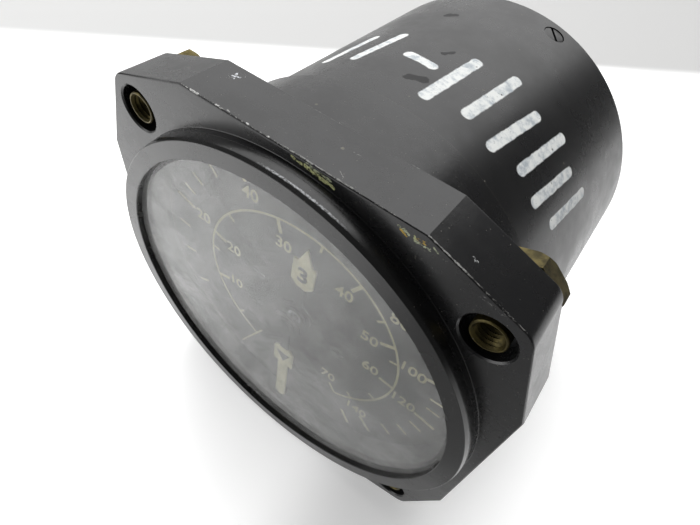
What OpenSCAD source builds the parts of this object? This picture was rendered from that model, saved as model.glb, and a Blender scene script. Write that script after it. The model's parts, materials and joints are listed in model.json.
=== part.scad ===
// Aircraft fuel quantity indicator: two concentric pointers over a double scale.
// X runs right across the dial, Z up it and Y back into the case, in millimetres.
// The origin lies on the instrument's axis, in the flange face that meets the panel.

/* [Bezel and window] */
// Outer radius of the bezel ring
bezel_r = 39; // [36:0.5:42]
// Height of the bezel in front of the flange
bezel_proud = 3.3; // [2.4:0.1:4]
// Width of the bezel's flat front ring
bezel_face = 3; // [2.8:0.1:3.6]
// Thickness of the bezel's lip in front of the glass
bezel_lip = 1.2; // [0.9:0.05:2.2]
// Thickness of the bezel's rim in front of the boss
bezel_rim = 2.25; // [1.5:0.05:2.4]
// Rounding of the bezel's front outer edge
bezel_round = 0.6; // [0.2:0.1:1]
// Bevel of the bezel's inner front edge
bezel_bevel = 0.15; // [0.1:0.05:0.6]
// Step from the bezel's side to its threaded skirt
skirt_step = 0.8; // [0.5:0.1:1.2]
// Wall of the threaded skirt
skirt_wall = 1.1; // [0.8:0.1:1.3]
// Length of the threaded skirt
skirt_len = 4.9; // [3:0.1:6]
// Thickness of the cover glass
glass_t = 2; // [1.4:0.1:2.4]
// Thickness of the gasket behind the glass
gasket_t = 0.8; // [0.5:0.1:1]
// Width of the gasket and of the spacer ring
ring_w = 1.8; // [1.2:0.1:2.2]
// Gap between the glass and the cap of the pointers
cap_clearance = 1.35; // [0.2:0.05:1.6]

/* [Front housing] */
// Thickness of the flange
flange_t = 9.4; // [8:0.1:12]
// Distance from the bezel's side to the flange's flats
flange_rim = 2.25; // [1.5:0.05:5]
// Length of each long flat of the flange
flat_len = 40.4; // [34:0.2:44]
// Distance from the bezel's side to the screw centres
screw_offset = 5.45; // [5:0.05:8]
// Distance from a screw's centre to the sharp corner of its lug
lug_margin = 6.25; // [6:0.05:9]
// Rounding of the lug corners
lug_round = 3; // [1:0.5:5]
// Radius of the counterbore at each screw
counterbore_r = 3.8; // [3.4:0.1:4.2]
// Depth of the counterbore at each screw
counterbore_depth = 3; // [2:0.1:4]
// Distance that the boss stands outside the bezel
boss_over = 0.4; // [0.2:0.1:0.8]
// Radius of the hollow fillet between boss and flange
boss_fillet = 0.3; // [0.2:0.1:1]
// Thickness of the ledge that carries dial and movement
ledge_t = 2.8; // [2.4:0.1:4]
// Width of the ledge
ledge_w = 6.1; // [5.5:0.1:8]
// Length of the neck behind the flange
neck_len = 13; // [10:0.5:18]
// Step from the neck down to the case
neck_step = 0.9; // [0.4:0.1:1.2]
// Length of the spigot that enters the case
spigot_len = 8; // [6:0.5:10]
// Wall of the spigot
spigot_wall = 1.6; // [1.4:0.1:2.2]

/* [Case] */
// Step from the bezel's side to the side of the case
case_inset = 0.8; // [0.4:0.1:1.5]
// Wall of the case
case_wall = 1.5; // [1:0.1:2]
// Depth from the flange face to the rear edge of the case
case_depth = 76.2; // [74:0.1:90]
// Rounding of the rear edge of the case
case_round = 0.9; // [0.3:0.1:1.2]
// Thickness of the rear cover
cover_t = 2.5; // [2:0.1:4]
// Recess of the rear cover inside the rear edge
cover_recess = 0.7; // [0.3:0.1:1.5]
// Length of the rear cover's skirt
cover_skirt_len = 5.6; // [5:0.1:8]
// Wall of the rear cover's skirt
cover_skirt_wall = 2.6; // [2.2:0.1:3.5]
// Number of screws through the side of the case
case_screw_count = 3; // [2:1:6]
// Angle of the first screw in the side of the case
case_screw_angle = 76; // [0:1:90]
// Distance of those screws from the rear edge
case_screw_inset = 4.9; // [4.7:0.1:6]
// Head radius of those screws
case_screw_head_r = 2.2; // [1.8:0.1:2.4]
// Shank radius of those screws
case_screw_r = 1.2; // [0.9:0.1:1.3]

/* [Anchor nuts] */
// Width of each nut across its flats
nut_af = 10; // [9:0.5:10.5]
// Thickness of the nut's hexagon behind the flange
nut_head_t = 2.9; // [2:0.1:4]
// Outer radius of the nut's sleeve
nut_sleeve_r = 2.6; // [2.4:0.1:3]
// Radius of the nut's screw hole
nut_bore_r = 2; // [1.5:0.1:2.2]

/* [Dial and pointers] */
// Thickness of the dial plate
dial_t = 0.8; // [0.6:0.1:1.2]
// Radius of the dial's centre hole
dial_bore_r = 3; // [2.6:0.1:3.6]
// Thickness of the printed scales
print_t = 0.05; // [0.02:0.01:0.08]
// Distance from the window's edge to the inner scale's arc
arc_inset = 12.9; // [12:0.1:15]
// Line width of the arc
arc_w = 0.45; // [0.3:0.05:0.8]
// Circle of the two dial screws
dial_screw_circle = 10.9; // [9:0.1:13]
// Angle of the first dial screw
dial_screw_angle = -21; // [-45:1:0]
// Gap between the dial and the short pointer
short_gap = 0.4; // [0.3:0.05:0.6]
// Gap between the dial and the long pointer
long_gap = 3.05; // [2.6:0.05:4]
// Thickness of both pointers
pointer_t = 0.4; // [0.3:0.05:0.45]
// Distance from the inner scale's arc to the tip of the short pointer
short_inset = 2.6; // [1:0.1:4]
// Distance from the window's edge to the tip of the long pointer
long_inset = 3.7; // [2:0.1:6]
// Width of the tags on the pointers
tag_w = 4.9; // [4:0.1:6]
// Angle of the short pointer at rest
short_angle = 86; // [30:1:150]
// Angle of the long pointer at rest, below the zero mark
long_angle = 268.5; // [255:0.5:285]

/* [Movement] */
// Thickness of the three movement plates
plate_t = 1.6; // [1.2:0.1:2]
// Gap between front and middle plate
front_bay = 4.9; // [4.6:0.1:7]
// Gap between middle and rear plate
rear_bay = 6.4; // [6.2:0.1:9]
// Module of the gears
gear_module = 0.5; // [0.45:0.01:0.52]
// Teeth of each pointer gear and of each follow-up gear
gear_teeth = 40; // [36:4:44]
// Teeth of each motor pinion
pinion_teeth = 12; // [12:1:14]
// Face width of the gears
gear_t = 2; // [1.5:0.1:2.4]
// Play between meshing teeth
backlash = 0.12; // [0.08:0.01:0.2]
// Radius of the inner spindle
inner_spindle_r = 0.9; // [0.8:0.05:1]
// Wall of the hollow outer spindle
outer_spindle_wall = 0.64; // [0.5:0.02:0.8]
// Radius of the motor shafts
motor_shaft_r = 1; // [0.8:0.05:1.2]
// Radius of the follow-up shafts
pot_shaft_r = 1.5; // [1.2:0.1:1.7]
// Radius of the servo motors
motor_r = 9.5; // [8:0.1:9.8]
// Length of the servo motors
motor_len = 22; // [18:0.5:23]
// Radius of the follow-up potentiometers
pot_r = 11; // [9.5:0.1:11.5]
// Length of the follow-up potentiometers
pot_len = 9; // [8:0.5:12]
// Outer radius of the pillars
pillar_r = 2.4; // [2:0.1:2.8]
// Shank radius of the tie screws
tie_screw_r = 1; // [0.8:0.05:1.2]

/* [Amplifier] */
// Height of the pillars that carry the circuit board
board_pillar_h = 25; // [24:0.5:27]
// Thickness of the circuit board
board_t = 1.6; // [1.2:0.1:2]
// Height of the tallest parts on the circuit board
board_part_h = 11; // [8:0.5:11.5]
// Gap between those parts and the connector's insulator
insert_gap = 6.5; // [3:0.1:8]

/* [Connector] */
// Side of the connector's square flange
plug_flange = 26; // [25:0.5:30]
// Thickness of the connector's flange and gasket
plug_flange_t = 1.6; // [1.2:0.1:2.5]
// Outer radius of the connector's barrel
plug_r = 11; // [10.5:0.1:12]
// Wall of the connector's barrel
plug_wall = 1.4; // [1:0.1:1.6]
// Length of the connector's barrel behind its flange
plug_len = 13; // [11:0.5:18]
// Number of contact pins
pin_count = 10; // [6:1:12]
// Radius of the contact pins
pin_r = 0.8; // [0.5:0.1:0.9]
// Circle on which the contact pins stand
pin_circle = 6.2; // [6:0.1:6.4]

/* [Fits] */
// Radial clearance of parts that turn in each other
run_gap = 0.06; // [0.03:0.01:0.09]
// Radial clearance of parts that are fixed in each other
fix_gap = 0.02; // [0.01:0.01:0.04]
// Radial clearance of parts that are dropped into each other
loose_gap = 0.1; // [0.05:0.01:0.2]

/* [Hidden] */
$fn = 72;
pressure_angle = 25;

// Radii of the front stack
window_r = bezel_r - bezel_face;
skirt_r = bezel_r - skirt_step;
skirt_in_r = skirt_r - skirt_wall;
stack_r = skirt_in_r - loose_gap;
ledge_r = stack_r - ledge_w;
screw_circle = bezel_r + screw_offset;
flange_half = bezel_r + flange_rim;
boss_r = bezel_r + boss_over;
arc_r = window_r - arc_inset;
short_reach = arc_r - short_inset;
long_reach = window_r - long_inset;

// How far two pieces of one solid run into each other, and how far a cut runs past a face
join = 0.1;
past = 1;

// Hub and cap of the pointers
hub_over = 0.4;
hub_wall = 0.45;
short_hub_r = 2.5;
long_hub_r = 2.2;
cap_r = 1.5;
cap_t = 0.3;
cap_round = 0.12;

// Stations of the front stack, from front to back
y_bezel = -bezel_proud;
y_rim = y_bezel + bezel_rim;
y_glass = y_bezel + bezel_lip;
y_glass_back = y_glass + glass_t;
y_gasket_back = y_glass_back + gasket_t;
y_cap = y_glass_back + cap_clearance;
y_long = y_cap + cap_t + hub_over + pointer_t;
y_dial = y_long + long_gap;
y_seat = y_dial + dial_t;
y_skirt_end = y_rim + skirt_len;
y_front_plate = y_seat + ledge_t;

// Radii and stations of the case
case_r = bezel_r - case_inset;
case_in_r = case_r - case_wall;
spigot_r = case_in_r - loose_gap;
bore_r = spigot_r - spigot_wall;
neck_r = case_r + neck_step;
y_neck_end = flange_t + neck_len;
y_spigot_end = y_neck_end + spigot_len;
cover_r = case_in_r - loose_gap;
y_cover_back = case_depth - cover_recess;
y_cover = y_cover_back - cover_t;
y_cover_skirt = y_cover - cover_skirt_len;
y_case_screw = case_depth - case_screw_inset;
spigot_run = 1;
groove_over = 0.3;
seal_depth = 0.9;
seal_w = 1.7;
filler_inset = 11.6;
filler_circle = cover_r - filler_inset;
filler_r = 2;
filler_af = 6;
filler_head_t = 2.2;
case_screw_sink = 0.1;
case_screw_head_t = case_wall + loose_gap - case_screw_sink;
case_screw_slot = 0.6;
case_screw_tip = 0.3;
case_screw_play = 0.15;
slot_w = 0.4;
y_seal = y_neck_end + 0.45 * spigot_len;

// Anchor nuts
nut_relief = 0.4;
nut_relief_t = 1.5;
nut_cone = 1.2;
nut_inset = 0.4;

// Marks of the two scales: the inner ones run inwards from the arc, the outer ones lie outside it
major_len = 3.4;
minor_len = 2;
arc_overlap = 0.2;
outer_major_start = 5.4;
outer_major_end = 10;
outer_minor_start = 6.4;
outer_minor_end = 9.2;
mark_w = 0.5;
bold_w = 0.75;

// Dial screws and their feet
dial_screw_r = 0.9;
dial_head_r = 1.5;
dial_foot_r = 2;

// Pointers
arm_w = 2;
bar_w = 2.6;
tip_half_w = 1.5;
tag_len = 7;
long_tag_len = 6.4;
short_tip = 3.9;
long_bar = 16.4;
short_tag = [short_reach - short_tip - tag_len, short_reach - short_tip];
long_tag = [long_reach - long_bar - long_tag_len, long_reach - long_bar];
long_tip = 1.4;
pointer_rim = 1;

// Stations of the pointers
y_short = y_dial - short_gap;
y_short_hub = y_short - pointer_t - hub_over;
y_short_hub_back = y_short + short_gap / 2;
y_long_hub = y_long - pointer_t - hub_over;
y_long_hub_back = y_long + hub_over;

// Stations of the movement
y_front_plate_back = y_front_plate + plate_t;
y_middle_plate = y_front_plate_back + front_bay;
y_middle_plate_back = y_middle_plate + plate_t;
y_rear_plate = y_middle_plate_back + rear_bay;
y_rear_plate_back = y_rear_plate + plate_t;
y_outer_gear = y_front_plate_back + 1.2;
y_inner_gear = y_middle_plate_back + 1.9;
gear_hub_w = 1.4;
gear_hub_t = 0.9;
pinion_over = 0.3;
shaft_inset = 0.3;
shaft_play = 0.3;
plate_r = bore_r - 0.5;
pillar_count = 4;
inner_plate_r = plate_r - 2;
pillar_circle = inner_plate_r - 5.5;
outer_spindle_in = inner_spindle_r + run_gap;
outer_spindle_r = outer_spindle_in + outer_spindle_wall;
bush_r = 2.8;
bush_flange_r = 4.2;
bush_flange_t = 0.6;
y_outer_spindle = y_short_hub;
y_outer_spindle_end = y_middle_plate_back + 0.4;
y_inner_spindle = y_long_hub + 0.1;
spindle_rim = 0.8;
bush_inset = 0.8;
tie_head = [1.9, 1.4];
movement_head = [1.5, 1.1];
movement_screw_tip = 1.2;
rear_bush_end = y_rear_plate_back + 1;
y_inner_spindle_end = y_rear_plate_back + 0.1;
movement_screw_circle = ledge_r + 1.9;

// Places of the gear train: the short pointer's drive lies above and right
gear_pitch_r = gear_module * gear_teeth / 2;
pinion_pitch_r = gear_module * pinion_teeth / 2;
pinion_centre = gear_pitch_r + pinion_pitch_r;
pot_centre = 2 * gear_pitch_r;
motor_boss_r = 3;
motor_boss_t = plate_t;
motor_screw_x = 6.4;
motor_screw_depth = 3;
motor_head = [1.7, 1];
motor_cap_t = 2;
motor_cap_inset = 1.2;
pot_bush_r = 3;
pot_bush_len = 2.2;
pot_wall = 1.2;
pot_nut_af = 8;
pot_nut_t = 1.6;
wiper_gap = 1.2;
wiper_t = 1.2;
wiper_w = 1.6;
track = [3, 0.3];
track_t = 0.9;
y_shaft_end = y_rear_plate_back + 6;
y_motor_end = y_rear_plate_back + motor_len;
y_pot_end = y_rear_plate_back + pot_len;

// Amplifier
y_board = y_rear_plate_back + board_pillar_h;
y_board_back = y_board + board_t;
board_r = plate_r - 2.5;
board_pillar_r = 2.5;
board_pillar_circle = board_r - 3.2;
board_screw_r = 1;
board_screw_depth = 5.5;
board_head = [1.9, 1.2];
transformer_inset = 20;
transistor_inset = 11;
capacitor_inset = 7;
transformer_z = transformer_inset - board_r;
core_size = [24, 20];
core_window = [4.4, 12];
core_leg = 8;
core_inset = 2.4;
coil_size = [16.4, 11.6];
transistor_circle = board_r - transistor_inset;
transistor_rim_r = 4.4;
transistor_rim_t = 0.8;
transistor_r = 3.9;
capacitor_circle = board_r - capacitor_inset;
capacitor_r = 3;

// Connector
gasket_plug_t = 0.8;
y_plug_flange_back = y_cover_back + gasket_plug_t + plug_flange_t;
y_plug_end = y_plug_flange_back + plug_len;
plug_in_r = plug_r - plug_wall;
insert_proud = 1.2;
pin_tail = 1.6;
pin_recess = 3;
plug_screw_inset = 3;
y_insert = y_board_back + board_part_h + insert_gap;
y_insert_back = y_plug_flange_back + insert_proud;
y_pin = y_insert - pin_tail;
y_pin_end = y_plug_end - pin_recess;
plug_screw_place = plug_flange / 2 - plug_screw_inset;
plug_screw_r = 1.1;
plug_head = [2, 1.3];
key_r = 1;
key_span = [5, 3];

// Scale angles, in degrees counter-clockwise from the right
scale_start = 240.5;
scale_end = -60;
inner_major = [197, 162, 104.4, 58.6, 26.4, -4.6];
inner_minor = [224, 175, 139.4, 80.7, 40.8, 15.6, -27, -47];
outer_major = [160, 116.5, 75, 41, 16.5, -8.8, -48.8, -60];
outer_minor = [207, 190, 175, 152, 143, 131, 102, 88, 58, 6.5, 0, -16.5, -26.2, -36.6];

// General shapes. Stations are places along Y, from the front.

// A plate of a flat outline drawn as seen from the front
module slab(front, back)
    translate([0, back, 0]) rotate([90, 0, 0]) linear_extrude(height = back - front) children();

// A round bar along Y
module bar(r, front, back)
    translate([0, back, 0]) rotate([90, 0, 0]) cylinder(h = back - front, r = r);

// A cone along Y, from one radius at the front to another at the back
module cone(r_front, r_back, front, back)
    translate([0, back, 0]) rotate([90, 0, 0]) cylinder(h = back - front, r1 = r_back, r2 = r_front);

// A ring along Y
module ring(r_out, r_in, front, back)
    difference() {
        bar(r_out, front, back);
        bar(r_in, front - past, back + past);
    }

// A turned shape from a profile of [radius, station] points
module turned(profile)
    rotate([90, 0, 0]) rotate_extrude() polygon([for (p = profile) [p[0], -p[1]]]);

// Moves its children to a radius and an angle as seen from the front
module polar(r, angle)
    translate([r * cos(angle), 0, r * sin(angle)]) children();

// Turns its children about the instrument's axis, counter-clockwise from the front
module facing(angle)
    rotate([0, -angle, 0]) children();

// Copies its children round a circle
module circled(count, r, start = 0)
    for (i = [0 : count - 1]) polar(r, start + i * 360 / count) children();

// A slotted cheese-head screw along Y, its head of [radius, height] behind its seat
module screw_from_back(shank_r, head, tip, seat)
    difference() {
        union() {
            bar(shank_r, tip, seat + join);
            bar(head[0], seat, seat + head[1]);
        }
        translate([-head[0], seat + 0.55 * head[1], -slot_w / 2])
            cube([2 * head[0], head[1], slot_w]);
    }

// A hexagon with a corner straight up
module hexagon(af)
    rotate(30) circle(r = af / 2 / cos(30), $fn = 6);

// Gear outlines

// Involute angle in degrees of a pressure angle
function involute(a) = tan(a) * 180 / PI - a;

// Half the angle that a tooth takes at a radius
function half_tooth(r, base_r, half_at_pitch) =
    half_at_pitch + involute(pressure_angle) - involute(acos(min(1, base_r / r)));

// Outline points of one tooth, from its root up, over its tip and down
function tooth_points(angle, root_r, foot_r, tip_r, base_r, half_at_pitch) =
    let (mid_r = (foot_r + tip_r) / 2,
        radii = [root_r, foot_r, mid_r, tip_r],
        halves = [for (r = [foot_r, foot_r, mid_r, tip_r]) half_tooth(r, base_r, half_at_pitch)])
    concat(
        [for (i = [0 : 3]) radii[i] * [cos(angle - halves[i]), sin(angle - halves[i])]],
        [for (i = [3 : -1 : 0]) radii[i] * [cos(angle + halves[i]), sin(angle + halves[i])]]);

// A spur gear's outline, with one tooth at the given angle
module gear_outline(teeth, phase) {
    pitch_r = gear_module * teeth / 2;
    base_r = pitch_r * cos(pressure_angle);
    root_r = pitch_r - 1.25 * gear_module;
    foot_r = max(base_r, root_r) + 0.01;
    half_at_pitch = 90 / teeth - backlash / 4 / pitch_r * 180 / PI;
    polygon([for (i = [0 : teeth - 1]) each tooth_points(phase + i * 360 / teeth,
        root_r, foot_r, pitch_r + gear_module, base_r, half_at_pitch)]);
}

// Front housing

// Rounded corner of a lug, in the quadrant between +X and +Y
function lug_corner() =
    let (corner = (screw_circle + lug_margin) * [cos(45), sin(45)],
        side = [flange_half, flat_len / 2] - corner,
        half_angle = acos((side * -corner) / (norm(side) * norm(corner))),
        centre = corner * (1 - lug_round / sin(half_angle) / norm(corner)),
        spread = 90 - half_angle)
    [for (i = [-4 : 4]) centre + lug_round * [cos(45 + i * spread / 4), sin(45 + i * spread / 4)]];

// One quarter of the flange's outline
function flange_quarter() = concat([[flange_half, flat_len / 2]], lug_corner(),
    [[flat_len / 2, flange_half]]);

module flange_outline()
    polygon([for (q = [0 : 3]) each [for (p = flange_quarter())
        [p[0] * cos(90 * q) - p[1] * sin(90 * q), p[0] * sin(90 * q) + p[1] * cos(90 * q)]]]);

// Boss under the bezel, with a hollow fillet down to the flange face
module housing_boss()
    turned(concat([[0, y_rim], [boss_r, y_rim]],
        [for (a = [180 : -15 : 90])
            [boss_r + boss_fillet * (1 + cos(a)), -boss_fillet * (1 - sin(a))]],
        [[boss_r + boss_fillet, join], [0, join]]));

module front_housing() color("dimgray")
    difference() {
        union() {
            slab(0, flange_t) flange_outline();
            housing_boss();
            bar(neck_r, flange_t - spigot_run, y_neck_end);
            bar(spigot_r, y_neck_end - spigot_run, y_spigot_end);
        }
        bar(skirt_r + run_gap, y_bezel - past, y_skirt_end + groove_over);
        bar(stack_r + loose_gap, y_bezel - past, y_seat);
        bar(ledge_r, y_seat - past, y_front_plate + past);
        bar(bore_r, y_front_plate, y_spigot_end + past);
        ring(spigot_r + past, spigot_r - seal_depth, y_seal, y_seal + seal_w);
        circled(4, screw_circle, 45) {
            bar(counterbore_r, y_bezel - past, counterbore_depth);
            bar(nut_sleeve_r + fix_gap, 0, flange_t + past);
            bar(nut_af / 2 / cos(30) + nut_relief, flange_t, flange_t + nut_head_t + nut_relief_t);
        }
        circled(3, movement_screw_circle, 90)
            bar(tie_screw_r + fix_gap, y_seat + movement_screw_tip - 0.2, y_front_plate + past);
    }

module anchor_nuts() color("darkgoldenrod")
    circled(4, screw_circle, 45)
        difference() {
            union() {
                bar(nut_sleeve_r, nut_inset, flange_t + join);
                intersection() {
                    slab(flange_t, flange_t + nut_head_t) hexagon(nut_af);
                    cone(nut_af / 2 + 0.2 + nut_cone, nut_af / 2 + 0.2, flange_t,
                        flange_t + nut_head_t);
                }
            }
            bar(nut_bore_r, 0, flange_t + nut_head_t + past);
        }

// Bezel, glass and the rings behind it

module bezel_ring() color("dimgray")
    turned(concat(
        [[window_r, y_glass], [window_r, y_bezel + bezel_bevel], [window_r + bezel_bevel, y_bezel]],
        [for (a = [90 : -15 : 0])
            [bezel_r - bezel_round * (1 - cos(a)), y_bezel + bezel_round * (1 - sin(a))]],
        [[bezel_r, y_rim], [skirt_r, y_rim], [skirt_r, y_skirt_end],
            [skirt_in_r, y_skirt_end], [skirt_in_r, y_glass]]));

module cover_glass() color("lightsteelblue", 0.4) bar(stack_r, y_glass, y_glass_back);

module glass_gasket() color("black")
    ring(stack_r, stack_r - ring_w, y_glass_back, y_gasket_back);

module dial_spacer() color("black")
    ring(stack_r, stack_r - ring_w, y_gasket_back, y_dial);

// Dial

module dial_plate() color("darkslategray")
    difference() {
        bar(stack_r, y_dial, y_seat);
        bar(dial_bore_r, y_dial - past, y_seat + past);
        circled(2, dial_screw_circle, dial_screw_angle)
            cone(dial_head_r + fix_gap, dial_screw_r + fix_gap, y_dial - 0.001, y_seat + 0.001);
    }

// A tick mark whose ends lie at two distances from the arc
module tick(angle, from, to, width)
    rotate(angle) translate([arc_r + from, -width / 2]) square([to - from, width]);

module dial_scale() color("khaki")
    slab(y_dial - print_t, y_dial) {
        difference() {
            intersection() {
                circle(r = arc_r);
                rotate(scale_end) polygon([[0, 0], for (a = [0 : 30.05 : 300.5])
                    2 * arc_r * [cos(a), sin(a)]]);
            }
            circle(r = arc_r - arc_w);
        }
        for (a = inner_major) tick(a, -major_len, -arc_overlap, bold_w);
        for (a = inner_minor) tick(a, -minor_len, -arc_overlap, mark_w);
        for (a = outer_major) tick(a, outer_major_start, outer_major_end, bold_w);
        for (a = outer_minor) tick(a, outer_minor_start, outer_minor_end, mark_w);
        tick(scale_end, -major_len, -arc_overlap, mark_w);
        tick(scale_start, -major_len, outer_major_end, arc_w);
    }

module dial_screws() color("black")
    circled(2, dial_screw_circle, dial_screw_angle)
        difference() {
            union() {
                cone(dial_head_r, dial_screw_r, y_dial, y_seat);
                bar(dial_screw_r, y_seat - join, y_front_plate_back - 0.2);
            }
            translate([-dial_head_r, y_dial - 0.2, -slot_w / 2])
                cube([2 * dial_head_r, 0.5, slot_w]);
        }

module dial_feet() color("silver")
    circled(2, dial_screw_circle, dial_screw_angle)
        ring(dial_foot_r, dial_screw_r + fix_gap, y_seat, y_front_plate);

// Pointers. Each outline points along +X and is turned to its place at rest.

// Tag with cut inner corners, from one radius to another
module tag_outline(span, cut)
    polygon([[span[0], -tag_w / 2 + cut], [span[0] + cut, -tag_w / 2], [span[1], -tag_w / 2],
        [span[1], tag_w / 2], [span[0] + cut, tag_w / 2], [span[0], tag_w / 2 - cut]]);

// A pointer's outline: a disc, an arm to the tag, a bar beyond the tag and its tip
module pointer_outline(rim_r, bore, tag, cut, half_w, shoulder, reach)
    difference() {
        union() {
            circle(r = rim_r);
            translate([0, -arm_w / 2]) square([tag[0] + cut, arm_w]);
            tag_outline(tag, cut);
            polygon([[tag[1] - join, -half_w], [shoulder, -half_w], [reach, 0],
                [shoulder, half_w], [tag[1] - join, half_w]]);
        }
        circle(r = bore);
    }

module short_pointer() color("wheat")
    slab(y_short - pointer_t, y_short) rotate(short_angle)
        pointer_outline(short_hub_r + pointer_rim, outer_spindle_r + hub_wall + fix_gap,
            short_tag, 1.4, tip_half_w, short_tag[1], short_reach);

// A collet on its spindle, with a collar in front of the pointer and a rim behind it
module collet(spindle_r, collar_r, front, pointer_back, back)
    difference() {
        union() {
            bar(spindle_r + hub_wall, front, back);
            bar(collar_r, front, pointer_back - pointer_t);
            bar(spindle_r + 2 * hub_wall, pointer_back, back);
        }
        bar(spindle_r + fix_gap, front - past, back + past);
    }

module short_hub() color("goldenrod")
    collet(outer_spindle_r, short_hub_r, y_short_hub, y_short, y_short_hub_back);

module long_pointer() color("wheat")
    slab(y_long - pointer_t, y_long) rotate(long_angle)
        pointer_outline(long_hub_r + pointer_rim, inner_spindle_r + hub_wall + fix_gap,
            long_tag, 1, bar_w / 2, long_reach - long_tip, long_reach);

module long_hub() color("goldenrod")
    collet(inner_spindle_r, long_hub_r, y_long_hub, y_long, y_long_hub_back);

module pointer_cap() color("black")
    turned([[0, y_cap], [cap_r - 2 * cap_round, y_cap], [cap_r, y_cap + cap_round],
        [cap_r, y_long_hub], [0, y_long_hub]]);

// Spindles, gears and bushes

module inner_spindle() color("silver")
    bar(inner_spindle_r, y_inner_spindle, y_inner_spindle_end);

module outer_spindle() color("silver")
    ring(outer_spindle_r, outer_spindle_in, y_outer_spindle, y_outer_spindle_end);

// A gear with a hub behind it, one tooth at the given angle
module wheel(teeth, phase, bore, hub_r, hub_t, front)
    difference() {
        union() {
            slab(front, front + gear_t) gear_outline(teeth, phase);
            bar(hub_r, front + gear_t - join, front + gear_t + hub_t);
        }
        bar(bore, front - past, front + gear_t + hub_t + past);
    }

module outer_gear() color("goldenrod")
    wheel(gear_teeth, 90, outer_spindle_r + fix_gap, outer_spindle_r + gear_hub_w, gear_hub_t,
        y_outer_gear);

module inner_gear() color("goldenrod")
    wheel(gear_teeth, 90, inner_spindle_r + fix_gap, inner_spindle_r + gear_hub_w, gear_hub_t,
        y_inner_gear);

module front_bush() color("peru")
    difference() {
        union() {
            bar(bush_r, y_seat + bush_inset, y_front_plate_back);
            bar(bush_flange_r, y_front_plate_back, y_front_plate_back + bush_flange_t);
        }
        bar(outer_spindle_r + run_gap, y_seat, y_front_plate_back + past);
    }

module middle_bush() color("peru")
    difference() {
        union() {
            bar(bush_flange_r, y_middle_plate - bush_flange_t, y_middle_plate);
            bar(bush_r, y_middle_plate - join, y_middle_plate_back);
        }
        bar(outer_spindle_r + run_gap, y_middle_plate - past, y_middle_plate_back + past);
    }

module rear_bush() color("peru")
    difference() {
        union() {
            bar(bush_flange_r, y_rear_plate - bush_flange_t, y_rear_plate);
            bar(bush_r, y_rear_plate - join, y_rear_plate_back);
            bar(inner_spindle_r + spindle_rim, y_rear_plate, rear_bush_end);
        }
        bar(inner_spindle_r + run_gap, y_rear_plate - past, y_inner_spindle_end + 0.1);
    }

// Movement plates

// Holes that go through every movement plate
module plate_holes(front, back) {
    bar(bush_r + fix_gap, front - past, back + past);
    circled(pillar_count, pillar_circle, 45) bar(tie_screw_r + fix_gap, front - past, back + past);
}

module front_plate() color("lightgray")
    difference() {
        bar(plate_r, y_front_plate, y_front_plate_back);
        plate_holes(y_front_plate, y_front_plate_back);
        circled(2, dial_screw_circle, dial_screw_angle)
            bar(dial_screw_r + fix_gap, y_front_plate - past, y_front_plate_back + past);
        circled(3, movement_screw_circle, 90)
            bar(tie_screw_r + loose_gap, y_front_plate - past, y_front_plate_back + past);
        polar(pinion_centre, 90)
            bar(motor_shaft_r + run_gap, y_front_plate - past, y_front_plate_back + past);
        polar(pot_centre, 0)
            bar(pot_shaft_r + run_gap, y_front_plate - past, y_front_plate_back + past);
    }

module middle_plate() color("lightgray")
    difference() {
        bar(inner_plate_r, y_middle_plate, y_middle_plate_back);
        plate_holes(y_middle_plate, y_middle_plate_back);
        circled(2, pinion_centre, 90)
            bar(motor_shaft_r + run_gap, y_middle_plate - past, y_middle_plate_back + past);
        circled(2, pot_centre, 0)
            bar(pot_shaft_r + run_gap, y_middle_plate - past, y_middle_plate_back + past);
    }

module rear_plate() color("lightgray")
    difference() {
        bar(inner_plate_r, y_rear_plate, y_rear_plate_back);
        plate_holes(y_rear_plate, y_rear_plate_back);
        circled(2, pinion_centre, 90) {
            bar(motor_boss_r + fix_gap, y_rear_plate - past, y_rear_plate_back + past);
            for (side = [-1, 1]) translate([side * motor_screw_x, 0, 0])
                bar(tie_screw_r + fix_gap, y_rear_plate - past, y_rear_plate_back + past);
        }
        circled(2, pot_centre, 0)
            bar(pot_bush_r + fix_gap, y_rear_plate - past, y_rear_plate_back + past);
        circled(3, board_pillar_circle, 30)
            bar(board_screw_r + fix_gap, y_rear_plate - past, y_rear_plate_back + past);
    }

module front_pillars() color("gold")
    circled(pillar_count, pillar_circle, 45)
        ring(pillar_r, tie_screw_r + fix_gap, y_front_plate_back, y_middle_plate);

module rear_pillars() color("gold")
    circled(pillar_count, pillar_circle, 45)
        ring(pillar_r, tie_screw_r + fix_gap, y_middle_plate_back, y_rear_plate);

module tie_screws() color("silver")
    circled(pillar_count, pillar_circle, 45)
        screw_from_back(tie_screw_r, tie_head, y_front_plate + 0.2, y_rear_plate_back);

module movement_screws() color("silver")
    circled(3, movement_screw_circle, 90)
        screw_from_back(tie_screw_r, movement_head, y_seat + movement_screw_tip,
            y_front_plate_back);

// Servo motors. Shaft holes are blind, and the boss enters the rear plate.

module motor()
    difference() {
        union() {
            bar(motor_boss_r, y_rear_plate_back - motor_boss_t, y_rear_plate_back + join);
            bar(motor_r, y_rear_plate_back, y_motor_end - motor_cap_t);
            bar(motor_r - motor_cap_inset, y_motor_end - motor_cap_t - join, y_motor_end);
        }
        bar(motor_shaft_r + run_gap, y_rear_plate - past, y_shaft_end + shaft_play);
        for (side = [-1, 1]) translate([side * motor_screw_x, 0, 0])
            bar(tie_screw_r + fix_gap, y_rear_plate_back - past,
                y_rear_plate_back + motor_screw_depth + fix_gap);
    }

module short_motor() color("slategray") polar(pinion_centre, 90) motor();

module long_motor() color("slategray") polar(pinion_centre, 270) motor();

module motor_screws() color("silver")
    circled(2, pinion_centre, 90) for (side = [-1, 1]) translate([side * motor_screw_x, 0, 0]) {
        bar(tie_screw_r, y_rear_plate - join, y_rear_plate_back + motor_screw_depth);
        bar(motor_head[0], y_rear_plate - motor_head[1], y_rear_plate);
    }

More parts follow.
